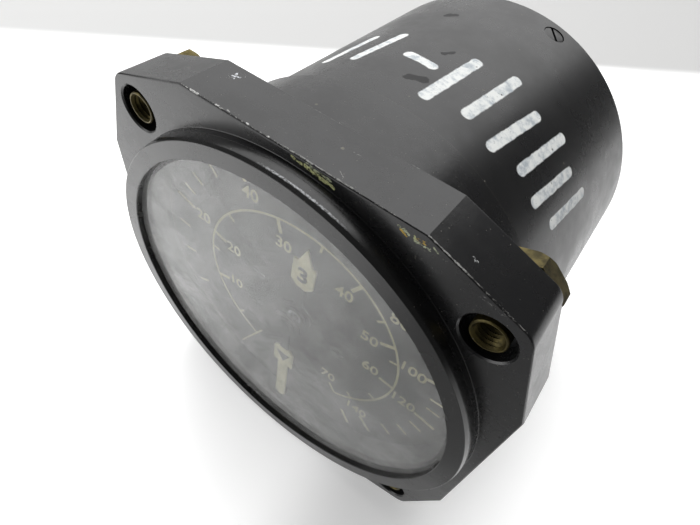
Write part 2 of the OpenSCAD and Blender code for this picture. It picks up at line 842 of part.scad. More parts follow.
// A shaft with its pinion or wheel, from a bearing plate back into its motor or potentiometer
module short_pinion() color("silver")
    polar(pinion_centre, 90) {
        bar(motor_shaft_r, y_front_plate + shaft_inset, y_shaft_end);
        slab(y_outer_gear - pinion_over, y_outer_gear + gear_t + pinion_over)
            gear_outline(pinion_teeth, 270 + 180 / pinion_teeth);
    }

module long_pinion() color("silver")
    polar(pinion_centre, 270) {
        bar(motor_shaft_r, y_middle_plate + shaft_inset, y_shaft_end);
        slab(y_inner_gear - pinion_over, y_inner_gear + gear_t + pinion_over)
            gear_outline(pinion_teeth, 90 + 180 / pinion_teeth);
    }

module short_pot_gear() color("goldenrod")
    polar(pot_centre, 0) {
        bar(pot_shaft_r, y_front_plate + shaft_inset, y_shaft_end);
        slab(y_outer_gear, y_outer_gear + gear_t) gear_outline(gear_teeth, 180 + 180 / gear_teeth);
        bar(pot_shaft_r + gear_hub_w, y_outer_gear + gear_t - join,
            y_outer_gear + gear_t + gear_hub_t);
    }

module long_pot_gear() color("goldenrod")
    polar(pot_centre, 180) {
        bar(pot_shaft_r, y_middle_plate + shaft_inset, y_shaft_end);
        slab(y_inner_gear, y_inner_gear + gear_t) gear_outline(gear_teeth, 180 / gear_teeth);
        bar(pot_shaft_r + gear_hub_w, y_inner_gear - gear_hub_t, y_inner_gear + join);
    }

// Follow-up potentiometers: a hollow body, a resistance track and a wiper on the shaft

module pot()
    difference() {
        union() {
            bar(pot_bush_r, y_rear_plate - pot_bush_len, y_rear_plate_back + join);
            bar(pot_r, y_rear_plate_back, y_pot_end);
        }
        bar(pot_shaft_r + run_gap, y_rear_plate - pot_bush_len - past, y_shaft_end + shaft_play);
        bar(pot_r - pot_wall, y_rear_plate_back + pot_wall, y_pot_end - pot_wall);
    }

module short_pot() color("saddlebrown") polar(pot_centre, 0) pot();

module long_pot() color("saddlebrown") polar(pot_centre, 180) pot();

// A wiper arm fixed to the shaft inside the potentiometer
module wiper()
    difference() {
        slab(y_rear_plate_back + pot_wall + wiper_gap,
            y_rear_plate_back + pot_wall + wiper_gap + wiper_t) {
            circle(r = pot_shaft_r + gear_hub_w);
            translate([0, -wiper_w / 2]) square([pot_r - pot_wall - 0.8, wiper_w]);
        }
        bar(pot_shaft_r + fix_gap, y_rear_plate_back, y_pot_end);
    }

module short_wiper() color("gold") polar(pot_centre, 0) facing(short_angle) wiper();

module long_wiper() color("gold") polar(pot_centre, 180) facing(long_angle) wiper();

module pot_tracks() color("black")
    circled(2, pot_centre, 0)
        ring(pot_r - pot_wall - track[1], pot_r - pot_wall - track[0],
            y_rear_plate_back + pot_wall, y_rear_plate_back + pot_wall + track_t);

module pot_nuts() color("silver")
    circled(2, pot_centre, 0)
        difference() {
            slab(y_rear_plate - pot_nut_t, y_rear_plate) hexagon(pot_nut_af);
            bar(pot_bush_r + fix_gap, y_rear_plate - pot_nut_t - past, y_rear_plate + past);
        }

// Amplifier

module board_pillars() color("gold")
    circled(3, board_pillar_circle, 30)
        difference() {
            union() {
                bar(board_screw_r, y_rear_plate + join, y_rear_plate_back + join);
                slab(y_rear_plate_back, y_board) hexagon(2 * board_pillar_r * cos(30));
            }
            bar(board_screw_r + fix_gap, y_board - board_screw_depth - 0.5, y_board + past);
        }

module amplifier_board() color("darkolivegreen")
    difference() {
        bar(board_r, y_board, y_board_back);
        circled(3, board_pillar_circle, 30)
            bar(board_screw_r + loose_gap, y_board - past, y_board_back + past);
    }

module board_screws() color("silver")
    circled(3, board_pillar_circle, 30)
        screw_from_back(board_screw_r, board_head, y_board - board_screw_depth, y_board_back);

module transformer_core() color("gray")
    translate([0, 0, transformer_z])
        slab(y_board_back + core_inset, y_board_back + board_part_h - core_inset) difference() {
            square(core_size, center = true);
            for (side = [-1, 1]) translate([side * (core_leg + core_window[0]) / 2, 0])
                square(core_window, center = true);
        }

module transformer_coil() color("sienna")
    translate([0, 0, transformer_z])
        difference() {
            slab(y_board_back, y_board_back + board_part_h) square(coil_size, center = true);
            slab(y_board_back + core_inset - fix_gap,
                y_board_back + board_part_h - core_inset + fix_gap)
                square([core_leg + 2 * fix_gap, core_size[1]], center = true);
        }

module transistors() color("silver")
    for (a = [35, 70, 110, 145]) polar(transistor_circle, a) {
        bar(transistor_rim_r, y_board_back, y_board_back + transistor_rim_t);
        bar(transistor_r, y_board_back + transistor_rim_t - join,
            y_board_back + 0.6 * board_part_h);
    }

module capacitors() color("steelblue")
    for (a = [0, -22, 180, 202]) polar(capacitor_circle, a)
        bar(capacitor_r, y_board_back, y_board_back + board_part_h);

// Case

module case_tube() color("dimgray")
    difference() {
        turned(concat([[case_in_r, y_neck_end], [case_r, y_neck_end]],
            [for (a = [0 : 15 : 90])
                [case_r - case_round * (1 - cos(a)), case_depth - case_round * (1 - sin(a))]],
            [[case_in_r, case_depth]]));
        circled_screws()
            cylinder(h = 4 * case_wall, r = case_screw_head_r + case_screw_play, center = true);
    }

// Copies its children round the case at the side screws, with Z outwards from the case's side
module circled_screws()
    for (i = [0 : case_screw_count - 1])
        facing(case_screw_angle + i * 360 / case_screw_count)
            translate([case_r, y_case_screw, 0]) rotate([0, 90, 0]) children();

module case_seal() color("black")
    ring(case_in_r - fix_gap, spigot_r - seal_depth + fix_gap, y_seal + fix_gap,
        y_seal + seal_w - fix_gap);

module rear_cover() color("dimgray")
    difference() {
        union() {
            bar(cover_r, y_cover, y_cover_back);
            ring(cover_r, cover_r - cover_skirt_wall, y_cover_skirt, y_cover + join);
        }
        bar(plug_in_r, y_cover - past, y_cover_back + past);
        circled_screws() cylinder(h = 20, r = case_screw_r + fix_gap, center = true);
        cornered() bar(plug_screw_r + fix_gap, y_cover - past, y_cover_back + past);
        polar(filler_circle, 90) bar(filler_r + fix_gap, y_cover - past, y_cover_back + past);
    }

// Slotted screws through the side of the case, seated on the rear cover's skirt
module case_screws() color("black")
    circled_screws() difference() {
        union() {
            translate([0, 0, -case_wall - loose_gap - cover_skirt_wall + case_screw_tip])
                cylinder(h = cover_skirt_wall, r = case_screw_r);
            translate([0, 0, -case_wall - loose_gap])
                cylinder(h = case_screw_head_t, r = case_screw_head_r);
        }
        translate([-case_screw_head_r, -case_screw_slot / 2, -case_screw_sink - case_screw_slot])
            cube([2 * case_screw_head_r, case_screw_slot, case_wall]);
    }

module filler_plug() color("silver")
    polar(filler_circle, 90) {
        bar(filler_r, y_cover + 0.2, y_cover_back + join);
        slab(y_cover_back, y_cover_back + filler_head_t) hexagon(filler_af);
    }

// Connector

// Copies its children at the four screws of the connector's flange
module cornered()
    for (x = [-1, 1], z = [-1, 1]) translate([x * plug_screw_place, 0, z * plug_screw_place])
        children();

module connector_shell() color("darkgray")
    difference() {
        union() {
            slab(y_cover_back + gasket_plug_t, y_plug_flange_back)
                square(plug_flange, center = true);
            bar(plug_r, y_plug_flange_back - join, y_plug_end);
            circled(3, plug_r, 90) bar(key_r, y_plug_end - key_span[0], y_plug_end - key_span[1]);
        }
        bar(plug_in_r, y_cover_back - past, y_plug_end + past);
        cornered() bar(plug_screw_r + fix_gap, y_cover_back, y_plug_flange_back + past);
    }

module connector_gasket() color("black")
    difference() {
        slab(y_cover_back, y_cover_back + gasket_plug_t) square(plug_flange, center = true);
        bar(plug_in_r, y_cover_back - past, y_cover_back + gasket_plug_t + past);
        cornered()
            bar(plug_screw_r + fix_gap, y_cover_back - past, y_cover_back + gasket_plug_t + past);
    }

module connector_insert() color("firebrick")
    difference() {
        bar(plug_in_r - fix_gap, y_insert, y_insert_back);
        circled(pin_count, pin_circle) bar(pin_r + fix_gap, y_insert - past, y_insert_back + past);
    }

module connector_pins() color("gold")
    circled(pin_count, pin_circle) {
        bar(pin_r, y_pin, y_pin_end - pin_r / 2);
        cone(pin_r, pin_r / 2, y_pin_end - pin_r / 2, y_pin_end);
    }

module connector_screws() color("silver")
    cornered() screw_from_back(plug_screw_r, plug_head, y_cover + 0.2, y_plug_flange_back);

front_housing();
bezel_ring();
cover_glass();
glass_gasket();
dial_spacer();
dial_plate();
dial_scale();
dial_screws();
dial_feet();
short_pointer();
short_hub();
outer_spindle();
outer_gear();
long_pointer();
long_hub();
pointer_cap();
inner_spindle();
inner_gear();
front_plate();
middle_plate();
rear_plate();
front_pillars();
rear_pillars();
tie_screws();
movement_screws();
front_bush();
middle_bush();
rear_bush();
short_motor();
long_motor();
short_pinion();
long_pinion();
motor_screws();
short_pot();
long_pot();
short_pot_gear();
long_pot_gear();
short_wiper();
long_wiper();
pot_tracks();
pot_nuts();
amplifier_board();
board_pillars();
board_screws();
transformer_core();
transformer_coil();
transistors();
capacitors();
case_tube();
case_seal();
rear_cover();
case_screws();
filler_plug();
connector_shell();
connector_insert();
connector_pins();
connector_gasket();
connector_screws();
anchor_nuts();
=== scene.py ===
"""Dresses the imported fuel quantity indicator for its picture.

X runs right across the dial, Z up it and Y back into the case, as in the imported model. Sizes are
written in millimetres and turned into metres where they reach Blender.
"""

from __future__ import annotations

import json
import logging
import math
from collections.abc import Callable, Iterable, Sequence
from dataclasses import dataclass
from enum import Enum

import bpy
from mathutils import Matrix, Vector


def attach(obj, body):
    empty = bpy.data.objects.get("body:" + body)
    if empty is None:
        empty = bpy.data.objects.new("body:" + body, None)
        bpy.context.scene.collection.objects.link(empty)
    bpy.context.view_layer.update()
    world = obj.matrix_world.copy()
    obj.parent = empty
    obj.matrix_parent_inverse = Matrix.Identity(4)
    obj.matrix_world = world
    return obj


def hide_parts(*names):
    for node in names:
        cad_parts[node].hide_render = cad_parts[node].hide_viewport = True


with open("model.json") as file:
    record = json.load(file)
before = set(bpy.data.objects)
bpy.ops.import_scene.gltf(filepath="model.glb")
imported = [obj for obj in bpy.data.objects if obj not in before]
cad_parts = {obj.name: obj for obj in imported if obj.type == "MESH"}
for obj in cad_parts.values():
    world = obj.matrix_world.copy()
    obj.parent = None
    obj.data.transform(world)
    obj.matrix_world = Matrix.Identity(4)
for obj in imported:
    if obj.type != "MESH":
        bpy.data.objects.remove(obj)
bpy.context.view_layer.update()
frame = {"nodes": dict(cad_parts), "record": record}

MM = 0.001
LOG = logging.getLogger("indicator")
NEAR = 0.01
SAME_PLACE = 1e-6

Colour = tuple[float, float, float]
Tone = tuple[float, float, float, float]
Place = tuple[float, float, float]
Pair = tuple[float, float]
Span = tuple[float, float]  # where a soft edge starts and where it ends
Wave = tuple[float, float, float]  # size in millimetres, detail and roughness of a noise
Outline = Sequence[Pair]  # points of radius and station
Socket = bpy.types.NodeSocket

CREAM: Colour = (248, 240, 194)
BARE: Colour = (214, 214, 212)
PRIMER: Colour = (184, 186, 132)
PALE: Colour = (158, 164, 136)
YELLOW: Colour = (186, 152, 44)
RUBBED: Colour = (150, 150, 147)
SCUFFED: Colour = (120, 120, 117)
SILVERY: Colour = (182, 184, 184)
WHITE: Colour = (226, 229, 236)
WORN_ENAMEL: Colour = (84, 84, 82)
FRONT_DUST: Colour = (112, 110, 102)
CASE_DUST: Colour = (104, 102, 96)


def linear(colour: Colour) -> Tone:
    """Turns a colour of 0 to 255 per channel into the linear values that shaders take."""
    return (*[((c / 255 + 0.055) / 1.055) ** 2.4 if c > 10 else c / 3295 for c in colour], 1.0)


def polar(radius: float, angle: float, y: float = 0.0) -> Vector:
    """Gives the point at a radius and an angle in degrees, as seen from the front."""
    turn = math.radians(angle)
    return Vector((radius * math.cos(turn), y, radius * math.sin(turn)))


def arc(centre: Pair, radius: float, start: float, end: float, steps: int) -> Outline:
    """Gives points of an arc in an outline.

    Args:
        centre: Radius and station of the arc's centre.
        radius: Radius of the arc.
        start: Angle of the first point, from outwards towards the back, in degrees.
        end: Angle of the last point.
        steps: Number of chords.

    Returns:
        The points, first and last included.
    """
    turns = [math.radians(start + (end - start) * i / steps) for i in range(steps + 1)]
    return [(centre[0] + radius * math.cos(t), centre[1] + radius * math.sin(t)) for t in turns]


# Node trees


class Tree:
    """A node tree, with short ways to add nodes and to join them."""

    def __init__(self, tree: bpy.types.NodeTree) -> None:
        """Takes up a tree."""
        self.tree = tree

    def node(self, kind: str, inputs: dict | None = None, **settings: object) -> bpy.types.Node:
        """Adds a node.

        Args:
            kind: The node's type, without its prefix.
            inputs: Values or sockets by input name or number.
            settings: The node's own properties.

        Returns:
            The new node.
        """
        new = self.tree.nodes.new("ShaderNode" + kind)
        for key, value in settings.items():
            setattr(new, key, value)
        for key, value in (inputs or {}).items():
            self.feed(new.inputs[key], value)
        return new

    def feed(self, socket: Socket, value: object) -> None:
        """Joins a socket to another, or sets its value.

        Args:
            socket: The input that is fed.
            value: A socket or a plain value.
        """
        if isinstance(value, bpy.types.NodeSocket):
            self.tree.links.new(value, socket)
        else:
            socket.default_value = value

    def maths(self, operation: str, *values: object, clamp: bool = False) -> Socket:
        """Adds Math nodes that take up the values one after another.

        Args:
            operation: The Math node's operation.
            values: Numbers or sockets. A node is added for each after the first.
            clamp: Whether results are held between 0 and 1.

        Returns:
            The last result.
        """
        result = values[0]
        for value in values[1:] or (0.0,):
            result = self.node("Math", {0: result, 1: value}, operation=operation,
                               use_clamp=clamp).outputs[0]
        return result

    def times(self, *values: object) -> Socket:
        """Multiplies the values."""
        return self.maths("MULTIPLY", *values)

    def most(self, *values: object) -> Socket:
        """Takes the largest of the values."""
        return self.maths("MAXIMUM", *values)

    def minus(self, first: object, second: object) -> Socket:
        """Takes the second value from the first."""
        return self.maths("SUBTRACT", first, second)

    def away(self, value: Socket, middle: float) -> Socket:
        """Tells how far a value is from another."""
        return self.maths("ABSOLUTE", self.minus(value, middle))

    def vector(self, operation: str, first: object, second: object = (0, 0, 0)) -> Socket:
        """Adds a Vector Math node and returns its vector, or its number where it has one.

        Args:
            operation: The Vector Math node's operation.
            first: Its first vector.
            second: Its second vector.

        Returns:
            The vector, or the number.
        """
        new = self.node("VectorMath", {0: first, 1: second}, operation=operation)
        number = operation in ("DOT_PRODUCT", "LENGTH", "DISTANCE")
        return new.outputs["Value" if number else "Vector"]

    def step(self, value: object, low: object, high: object, start: float = 0.0,
             end: float = 1.0) -> Socket:
        """Turns a value smoothly from one end to the other between two limits.

        Args:
            value: The value that decides.
            low: Where the change starts.
            high: Where it ends.
            start: What comes before it.
            end: What comes after it.

        Returns:
            The smooth step.
        """
        return self.node("MapRange", {"Value": value, "From Min": low, "From Max": high,
                                      "To Min": start, "To Max": end},
                         interpolation_type="SMOOTHSTEP").outputs[0]

    def spread(self, value: Socket, low: float, high: float) -> Socket:
        """Spreads a value of 0 to 1 between two numbers."""
        return self.node("MapRange", {"Value": value, "To Min": low, "To Max": high}).outputs[0]

    def blend(self, mask: object, under: object, over: object) -> Socket:
        """Lays one colour over another through a mask.

        Args:
            mask: How much of the upper colour shows.
            under: The lower colour: a socket, a Tone or a Colour.
            over: The upper colour, in the same ways.

        Returns:
            The mixed colour.
        """
        new = self.node("Mix", data_type="RGBA")
        for key, value in ((0, mask), (6, under), (7, over)):
            plain = isinstance(value, tuple) and len(value) == 3
            self.feed(new.inputs[key], linear(value) if plain else value)
        return new.outputs[2]

    def noise(self, position: Socket, size: object, detail: float = 3.0,
              roughness: float = 0.55) -> Socket:
        """Adds a noise whose waves are a size in millimetres long, and returns its value.

        Args:
            position: The place on the piece.
            size: Length of the waves.
            detail: Number of finer layers.
            roughness: Strength of the finer layers.

        Returns:
            The noise, about 0.5 in the middle.
        """
        scale = self.maths("DIVIDE", 1 / MM, size)
        return self.node("TexNoise", {"Vector": position, "Scale": scale, "Detail": detail,
                                      "Roughness": roughness}).outputs[0]

    def axial(self, position: Socket) -> tuple[Socket, Socket, Socket]:
        """Gives radius and station in millimetres, and the angle about the instrument's axis.

        Args:
            position: The place on the piece.

        Returns:
            Radius, station and angle in radians.
        """
        place = self.node("SeparateXYZ", {0: position}).outputs
        flat = self.node("CombineXYZ", {0: place[0], 1: place[2]}).outputs[0]
        return (self.maths("DIVIDE", self.vector("LENGTH", flat), MM),
                self.maths("DIVIDE", place[1], MM), self.maths("ARCTAN2", place[2], place[0]))

    def effect(self, effect: Effect, **inputs: object) -> Socket:
        """Places an effect's group, its inputs named with an underscore for a blank.

        Args:
            effect: The effect whose group is placed.
            inputs: Sockets or values for the group's inputs.

        Returns:
            The mask.
        """
        new = self.node("Group", node_tree=effect.group())
        for key, value in inputs.items():
            self.feed(new.inputs[key.replace("_", " ")], value)
        return new.outputs[0]


class Effect(Enum):
    """The surface effects that several finishes share. Each is one node group."""

    DUST = "dust specks"
    WEAR = "rubbed edges"
    CLOUDS = "handling marks"
    STROKE = "ragged stroke"
    TURNING = "turning marks"
    SCRATCHES = "fine scratches"

    def group(self) -> bpy.types.NodeTree:
        """Returns the effect's node group, which is built the first time.

        Returns:
            The group, with Position and the inputs of its recipe.
        """
        ready = bpy.data.node_groups.get(self.value)
        if ready:
            return ready
        build, sockets = RECIPES[self]
        group = bpy.data.node_groups.new(self.value, "ShaderNodeTree")
        for name, value in {"Position": (), **sockets}.items():
            kind = "NodeSocketVector" if value == () else "NodeSocketFloat"
            made = group.interface.new_socket(name, in_out="INPUT", socket_type=kind)
            if value != ():
                made.default_value = value
        group.interface.new_socket("Mask", in_out="OUTPUT", socket_type="NodeSocketFloat")
        tree = Tree(group)
        source, result = (group.nodes.new("NodeGroup" + end) for end in ("Input", "Output"))
        tree.feed(result.inputs["Mask"], build(tree, source.outputs))
        return group


SPECKS = ((1.0, 1.0, 0.55), (3.4, 0.3, 1.0))  # size, share and strength of each layer
SPECK_REACH: Span = (0.06, 0.26)  # least and largest speck, as a share of its cell
WORN_TURN: Span = (0.995, 0.86)  # cosines of the angle that an edge turns by
WEAR_PATCHES: Wave = (1.7, 5.0, 0.65)
WEAR_EDGE = 0.06
FINE_SIZE = 0.22  # of the fine clouds, against the large ones
FINE_SHARE = 0.35
CLOUD_LIMITS: Span = (0.32, 0.68)
STROKE_FRAY = 4.0
STROKE_EDGE: Span = (0.8, 1.05)  # shares of the half width
RING_DRIFT = 0.0004  # metres that a ring drifts over a radian
SCRATCH_WAYS = ((0.6, 3.0), (-0.9, 11.0))  # tilt and shift of each direction
SCRATCH_STRETCH = 14
SCRATCH_WIDTH = 0.004
SCRATCH_PATCHES = 0.8
SCRATCH_EDGE = 0.1


def _dust(tree: Tree, given: bpy.types.NodeOutputs) -> Socket:
    """Scatters specks, one or none to a cell: many fine ones and a few coarse ones.

    Args:
        tree: The group's nodes.
        given: The group's inputs.

    Returns:
        The mask, from 0 to 1.
    """
    layers = []
    for part, cover, weight in SPECKS:
        scale = tree.maths("DIVIDE", 1 / MM / part, given["Size"])
        cells = tree.node("TexVoronoi", {"Vector": given["Position"], "Scale": scale})
        chance = tree.node("SeparateColor", {"Color": cells.outputs["Color"]}).outputs
        rare = tree.maths("LESS_THAN", chance[0], tree.times(given["Cover"], cover))
        reach = tree.spread(chance[1], *SPECK_REACH)
        inside = tree.step(cells.outputs["Distance"], tree.times(reach, 0.5), reach, weight, 0.0)
        layers.append(tree.times(rare, inside))
    return tree.most(*layers)


def _wear(tree: Tree, given: bpy.types.NodeOutputs) -> Socket:
    """Finds edges by how far a rounded normal leaves the flat one, broken up by noise.

    Args:
        tree: The group's nodes.
        given: The group's inputs.

    Returns:
        The mask, from 0 to 1.
    """
    rounded = tree.node("Bevel", {"Radius": tree.times(given["Width"], MM)}, samples=6)
    flat = tree.node("NewGeometry").outputs["Normal"]
    edge = tree.step(tree.vector("DOT_PRODUCT", rounded.outputs[0], flat), *WORN_TURN)
    limit = tree.minus(1.0, given["Amount"])
    kept = tree.step(tree.noise(given["Position"], *WEAR_PATCHES),
                     tree.minus(limit, WEAR_EDGE), tree.maths("ADD", limit, WEAR_EDGE))
    return tree.times(edge, kept)


def _clouds(tree: Tree, given: bpy.types.NodeOutputs) -> Socket:
    """Lays soft uneven patches, as from handling.

    Args:
        tree: The group's nodes.
        given: The group's inputs.

    Returns:
        The mask, from 0 to 1.
    """
    large = tree.noise(given["Position"], given["Size"], 2.0)
    small = tree.noise(given["Position"], tree.times(given["Size"], FINE_SIZE), 4.0)
    return tree.step(tree.maths("ADD", tree.times(large, 1 - FINE_SHARE),
                                tree.times(small, FINE_SHARE)), *CLOUD_LIMITS)


def _stroke(tree: Tree, given: bpy.types.NodeOutputs) -> Socket:
    """Marks what lies near the line between two places, with a ragged edge.

    Args:
        tree: The group's nodes.
        given: The group's inputs.

    Returns:
        The mask, from 0 to 1.
    """
    along = tree.vector("SUBTRACT", given["To"], given["From"])
    across = tree.vector("SUBTRACT", given["Position"], given["From"])
    part = tree.maths("DIVIDE", tree.vector("DOT_PRODUCT", across, along),
                      tree.vector("DOT_PRODUCT", along, along), clamp=True)
    nearest = tree.node("VectorMath", {0: along, "Scale": part}, operation="SCALE").outputs[0]
    away = tree.maths("DIVIDE", tree.vector("DISTANCE", across, nearest), MM)
    ragged = tree.times(tree.minus(given["Noise"], 0.5), given["Raggedness"], STROKE_FRAY)
    return tree.step(tree.maths("ADD", away, ragged),
                     *[tree.times(given["Half width"], share) for share in STROKE_EDGE],
                     1.0, 0.0)


def _turning(tree: Tree, given: bpy.types.NodeOutputs) -> Socket:
    """Draws fine rings round the Y axis, as a lathe leaves them.

    Args:
        tree: The group's nodes.
        given: The group's inputs.

    Returns:
        The height of the rings.
    """
    radius, station, turn = tree.axial(given["Position"])
    rings = tree.node("CombineXYZ", {0: tree.times(radius, MM), 1: tree.times(station, MM),
                                     2: tree.times(turn, RING_DRIFT)})
    return tree.noise(rings.outputs[0], given["Pitch"], 3.0, 0.6)


def _scratches(tree: Tree, given: bpy.types.NodeOutputs) -> Socket:
    """Draws sparse thin scratches in two directions.

    Args:
        tree: The group's nodes.
        given: The group's inputs.

    Returns:
        The mask, from 0 to 1.
    """
    masks = []
    for tilt, seed in SCRATCH_WAYS:
        turned = tree.node("Mapping", {"Vector": given["Position"], "Rotation": (0.3, tilt, 0.4),
                                       "Location": (seed, seed, 0),
                                       "Scale": (1, SCRATCH_STRETCH, 1)})
        lines = tree.noise(turned.outputs[0], given["Size"], 1.0)
        masks.append(tree.step(tree.away(lines, 0.5), 0.0, SCRATCH_WIDTH, 1.0, 0.0))
    sparse = tree.noise(given["Position"], tree.times(given["Size"], SCRATCH_PATCHES), 2.0)
    limit = tree.minus(1.0, given["Amount"])
    return tree.times(tree.most(*masks),
                      tree.step(sparse, limit, tree.maths("ADD", limit, SCRATCH_EDGE)))


RECIPES: dict[Effect, tuple[Callable[..., Socket], dict[str, object]]] = {
    Effect.DUST: (_dust, {"Size": 0.5, "Cover": 0.2}),
    Effect.WEAR: (_wear, {"Width": 0.3, "Amount": 0.5}),
    Effect.CLOUDS: (_clouds, {"Size": 10.0}),
    Effect.STROKE: (_stroke, {"From": (), "To": (), "Half width": 1.0, "Raggedness": 0.4,
                              "Noise": 0.5}),
    Effect.TURNING: (_turning, {"Pitch": 0.2}),
    Effect.SCRATCHES: (_scratches, {"Size": 6.0, "Amount": 0.5}),
}


# Finishes


@dataclass
class Skin:
    """What the surface shows so far. Marks are laid over it."""

    tree: Tree
    position: Socket
    colour: Socket
    metallic: Socket | float
    rough: Socket

    def lay(self, mask: Socket, colour: Colour | Socket, rough: float = 0.0) -> None:
        """Lays a colour on through a mask, and roughens the surface under it.

        Args:
            mask: Where the colour lies.
            colour: The colour or its socket.
            rough: The roughness under it, or 0 to keep it as it is.
        """
        self.colour = self.tree.blend(mask, self.colour, colour)
        if rough:
            self.rough = self.tree.most(self.rough, self.tree.times(mask, rough))


@dataclass(frozen=True)
class Finish:
    """A finish in its plain form: a colour, its gloss and the marks of making and use.

    Sizes are in millimetres. With 0, turning, dust or wear is left out.
    """

    name: str
    colour: Colour
    roughness: float = 0.45
    metallic: float = 0.0
    shade: float = 0.25
    cloud: float = 6.0
    grain: float = 0.4
    depth: float = 0.01
    turning: float = 0.0
    dust: float = 0.1
    dust_size: float = 0.6
    dust_colour: Colour = (140, 136, 126)
    dust_roughness: float = 0.9
    wear: float = 0.0
    wear_width: float = 0.25
    wear_colour: Colour = (190, 190, 186)
    gloss: float = 0.5
    unevenness: float = 0.18
    relief_strength: float = 0.5

    def material(self) -> bpy.types.Material:
        """Returns the material, which is built the first time.

        Returns:
            The material.
        """
        ready = bpy.data.materials.get(self.name)
        if ready:
            return ready
        made = bpy.data.materials.new(self.name)
        made.use_nodes = True
        tree = Tree(made.node_tree)
        shader = made.node_tree.nodes["Principled BSDF"]
        shader.inputs["Specular IOR Level"].default_value = self.gloss
        self.dress(tree, shader, tree.node("TexCoord").outputs["Object"])
        return made

    def dress(self, tree: Tree, shader: bpy.types.Node, position: Socket) -> None:
        """Feeds the shader.

        Args:
            tree: The material's nodes.
            shader: The material's surface shader.
            position: The place on the piece.
        """
        clouds = tree.effect(Effect.CLOUDS, Position=position, Size=self.cloud)
        dark = tuple(c * (1 - self.shade) for c in self.colour)
        skin = Skin(tree, position, tree.blend(clouds, self.colour, dark), self.metallic,
                    tree.spread(clouds, self.roughness * (1 - self.unevenness),
                                self.roughness * (1 + self.unevenness)))
        if self.wear:
            worn = tree.effect(Effect.WEAR, Position=position, Width=self.wear_width,
                               Amount=self.wear)
            skin.lay(worn, self.wear_colour)
            skin.metallic = tree.most(worn, self.metallic)
        self.marks(skin)
        if self.dust:
            specks = tree.effect(Effect.DUST, Position=position, Size=self.dust_size,
                                 Cover=self.dust)
            skin.lay(specks, self.dust_colour, self.dust_roughness)
            if isinstance(skin.metallic, Socket) or skin.metallic:
                skin.metallic = tree.times(skin.metallic, tree.minus(1.0, specks))
        tree.feed(shader.inputs["Base Color"], skin.colour)
        tree.feed(shader.inputs["Metallic"], skin.metallic)
        tree.feed(shader.inputs["Roughness"], skin.rough)
        tree.feed(shader.inputs["Normal"], self.relief(tree, position))

    def marks(self, skin: Skin) -> None:
        """Lays this finish's own marks over the plain colour, gloss and metal."""

    def relief(self, tree: Tree, position: Socket) -> Socket:
        """Raises the grain, or the rings that turning leaves, and returns the normal.

        Args:
            tree: The material's nodes.
            position: The place on the piece.

        Returns:
            The bumped normal.
        """
        height = (tree.effect(Effect.TURNING, Position=position, Pitch=self.turning)
                  if self.turning else tree.noise(position, self.grain, 2.0))
        return tree.node("Bump", {"Height": height, "Strength": self.relief_strength,
                                  "Distance": self.depth * MM}).outputs[0]


@dataclass(frozen=True)
class Chip:
    """A chip or rub along a line: bare metal, or a paint's colour, with a ragged edge."""

    start: Place
    end: Place
    half_width: float
    colour: Colour = BARE
    raggedness: float = 0.1
    solid: float = 0.5


@dataclass(frozen=True)
class ChippedEnamel(Finish):
    """Black enamel on a casting, chipped down to primer and metal at known places."""

    chips: tuple[Chip, ...] = ()
    scratch_colour: Colour = WORN_ENAMEL
    scratch_size: float = 9.0
    scratch_amount: float = 0.42
    scratch_strength: float = 0.4
    ragged: Wave = (0.8, 5.0, 0.6)
    flakes: Wave = (0.5, 4.0, 0.7)
    streaks: Wave = (0.26, 5.0, 0.8)
    streak_turn: float = 0.09
    streak_stretch: float = 0.4
    streak_share: float = 0.8
    streak_tones: Span = (0.42, 0.58)
    sparse: float = 0.68
    solid: float = 0.36
    chip_edge: float = 0.025
    chip_shade: float = 0.72
    chip_roughness: float = 0.5
    rim_station: float = 22.25
    rim_width: Span = (0.08, 0.2)
    rim_radius: float = 38.6
    rim_wear_and_highlight_colour: Colour = (138, 135, 124)
    rim_patches: Wave = (5.0, 4.0, 0.55)
    rim_limits: Span = (0.3, 0.5)

    def marks(self, skin: Skin) -> None:
        """Cuts the chips into the enamel, and paints a pale line on the rim of the neck: a painted
        edge highlight, partly worn paint.

        Args:
            skin: What the surface shows so far.
        """
        tree, position = skin.tree, skin.position
        scratched = tree.effect(Effect.SCRATCHES, Position=position, Size=self.scratch_size,
                                Amount=self.scratch_amount)
        skin.lay(tree.times(scratched, self.scratch_strength), self.scratch_colour)
        ragged = tree.noise(position, *self.ragged)
        flakes = tree.noise(position, *self.flakes)
        drawn = tree.node("Mapping", {"Vector": position, "Rotation": (0, self.streak_turn, 0),
                                      "Scale": (self.streak_stretch, 1, 1)}).outputs[0]
        streaks = tree.noise(drawn, *self.streaks)
        broken = tree.maths("ADD", tree.times(streaks, self.streak_share),
                            tree.times(flakes, 1 - self.streak_share))
        for chip in self.chips:
            bare = chip.colour is BARE
            near = tree.effect(Effect.STROKE, Position=position, Noise=ragged,
                               From=tuple(v * MM for v in chip.start),
                               To=tuple(v * MM for v in chip.end),
                               Half_width=chip.half_width, Raggedness=chip.raggedness)
            limit = self.sparse - self.solid * chip.solid
            mask = tree.times(near, tree.step(flakes if bare else broken,
                                              limit - self.chip_edge, limit + self.chip_edge))
            dull = tuple(c * self.chip_shade for c in chip.colour)
            tone = tree.blend(tree.step(streaks, *self.streak_tones), dull, chip.colour)
            skin.lay(mask, tone, self.chip_roughness)
            if bare:
                skin.metallic = tree.most(skin.metallic, mask)
        radius, station, _ = tree.axial(position)
        # painted edge highlight on the neck's rim, partly worn paint
        rim = tree.times(
            tree.step(tree.away(station, self.rim_station), *self.rim_width, 1.0, 0.0),
            tree.maths("GREATER_THAN", radius, self.rim_radius),
            tree.step(tree.noise(position, *self.rim_patches), *self.rim_limits))
        skin.lay(rim, self.rim_wear_and_highlight_colour)


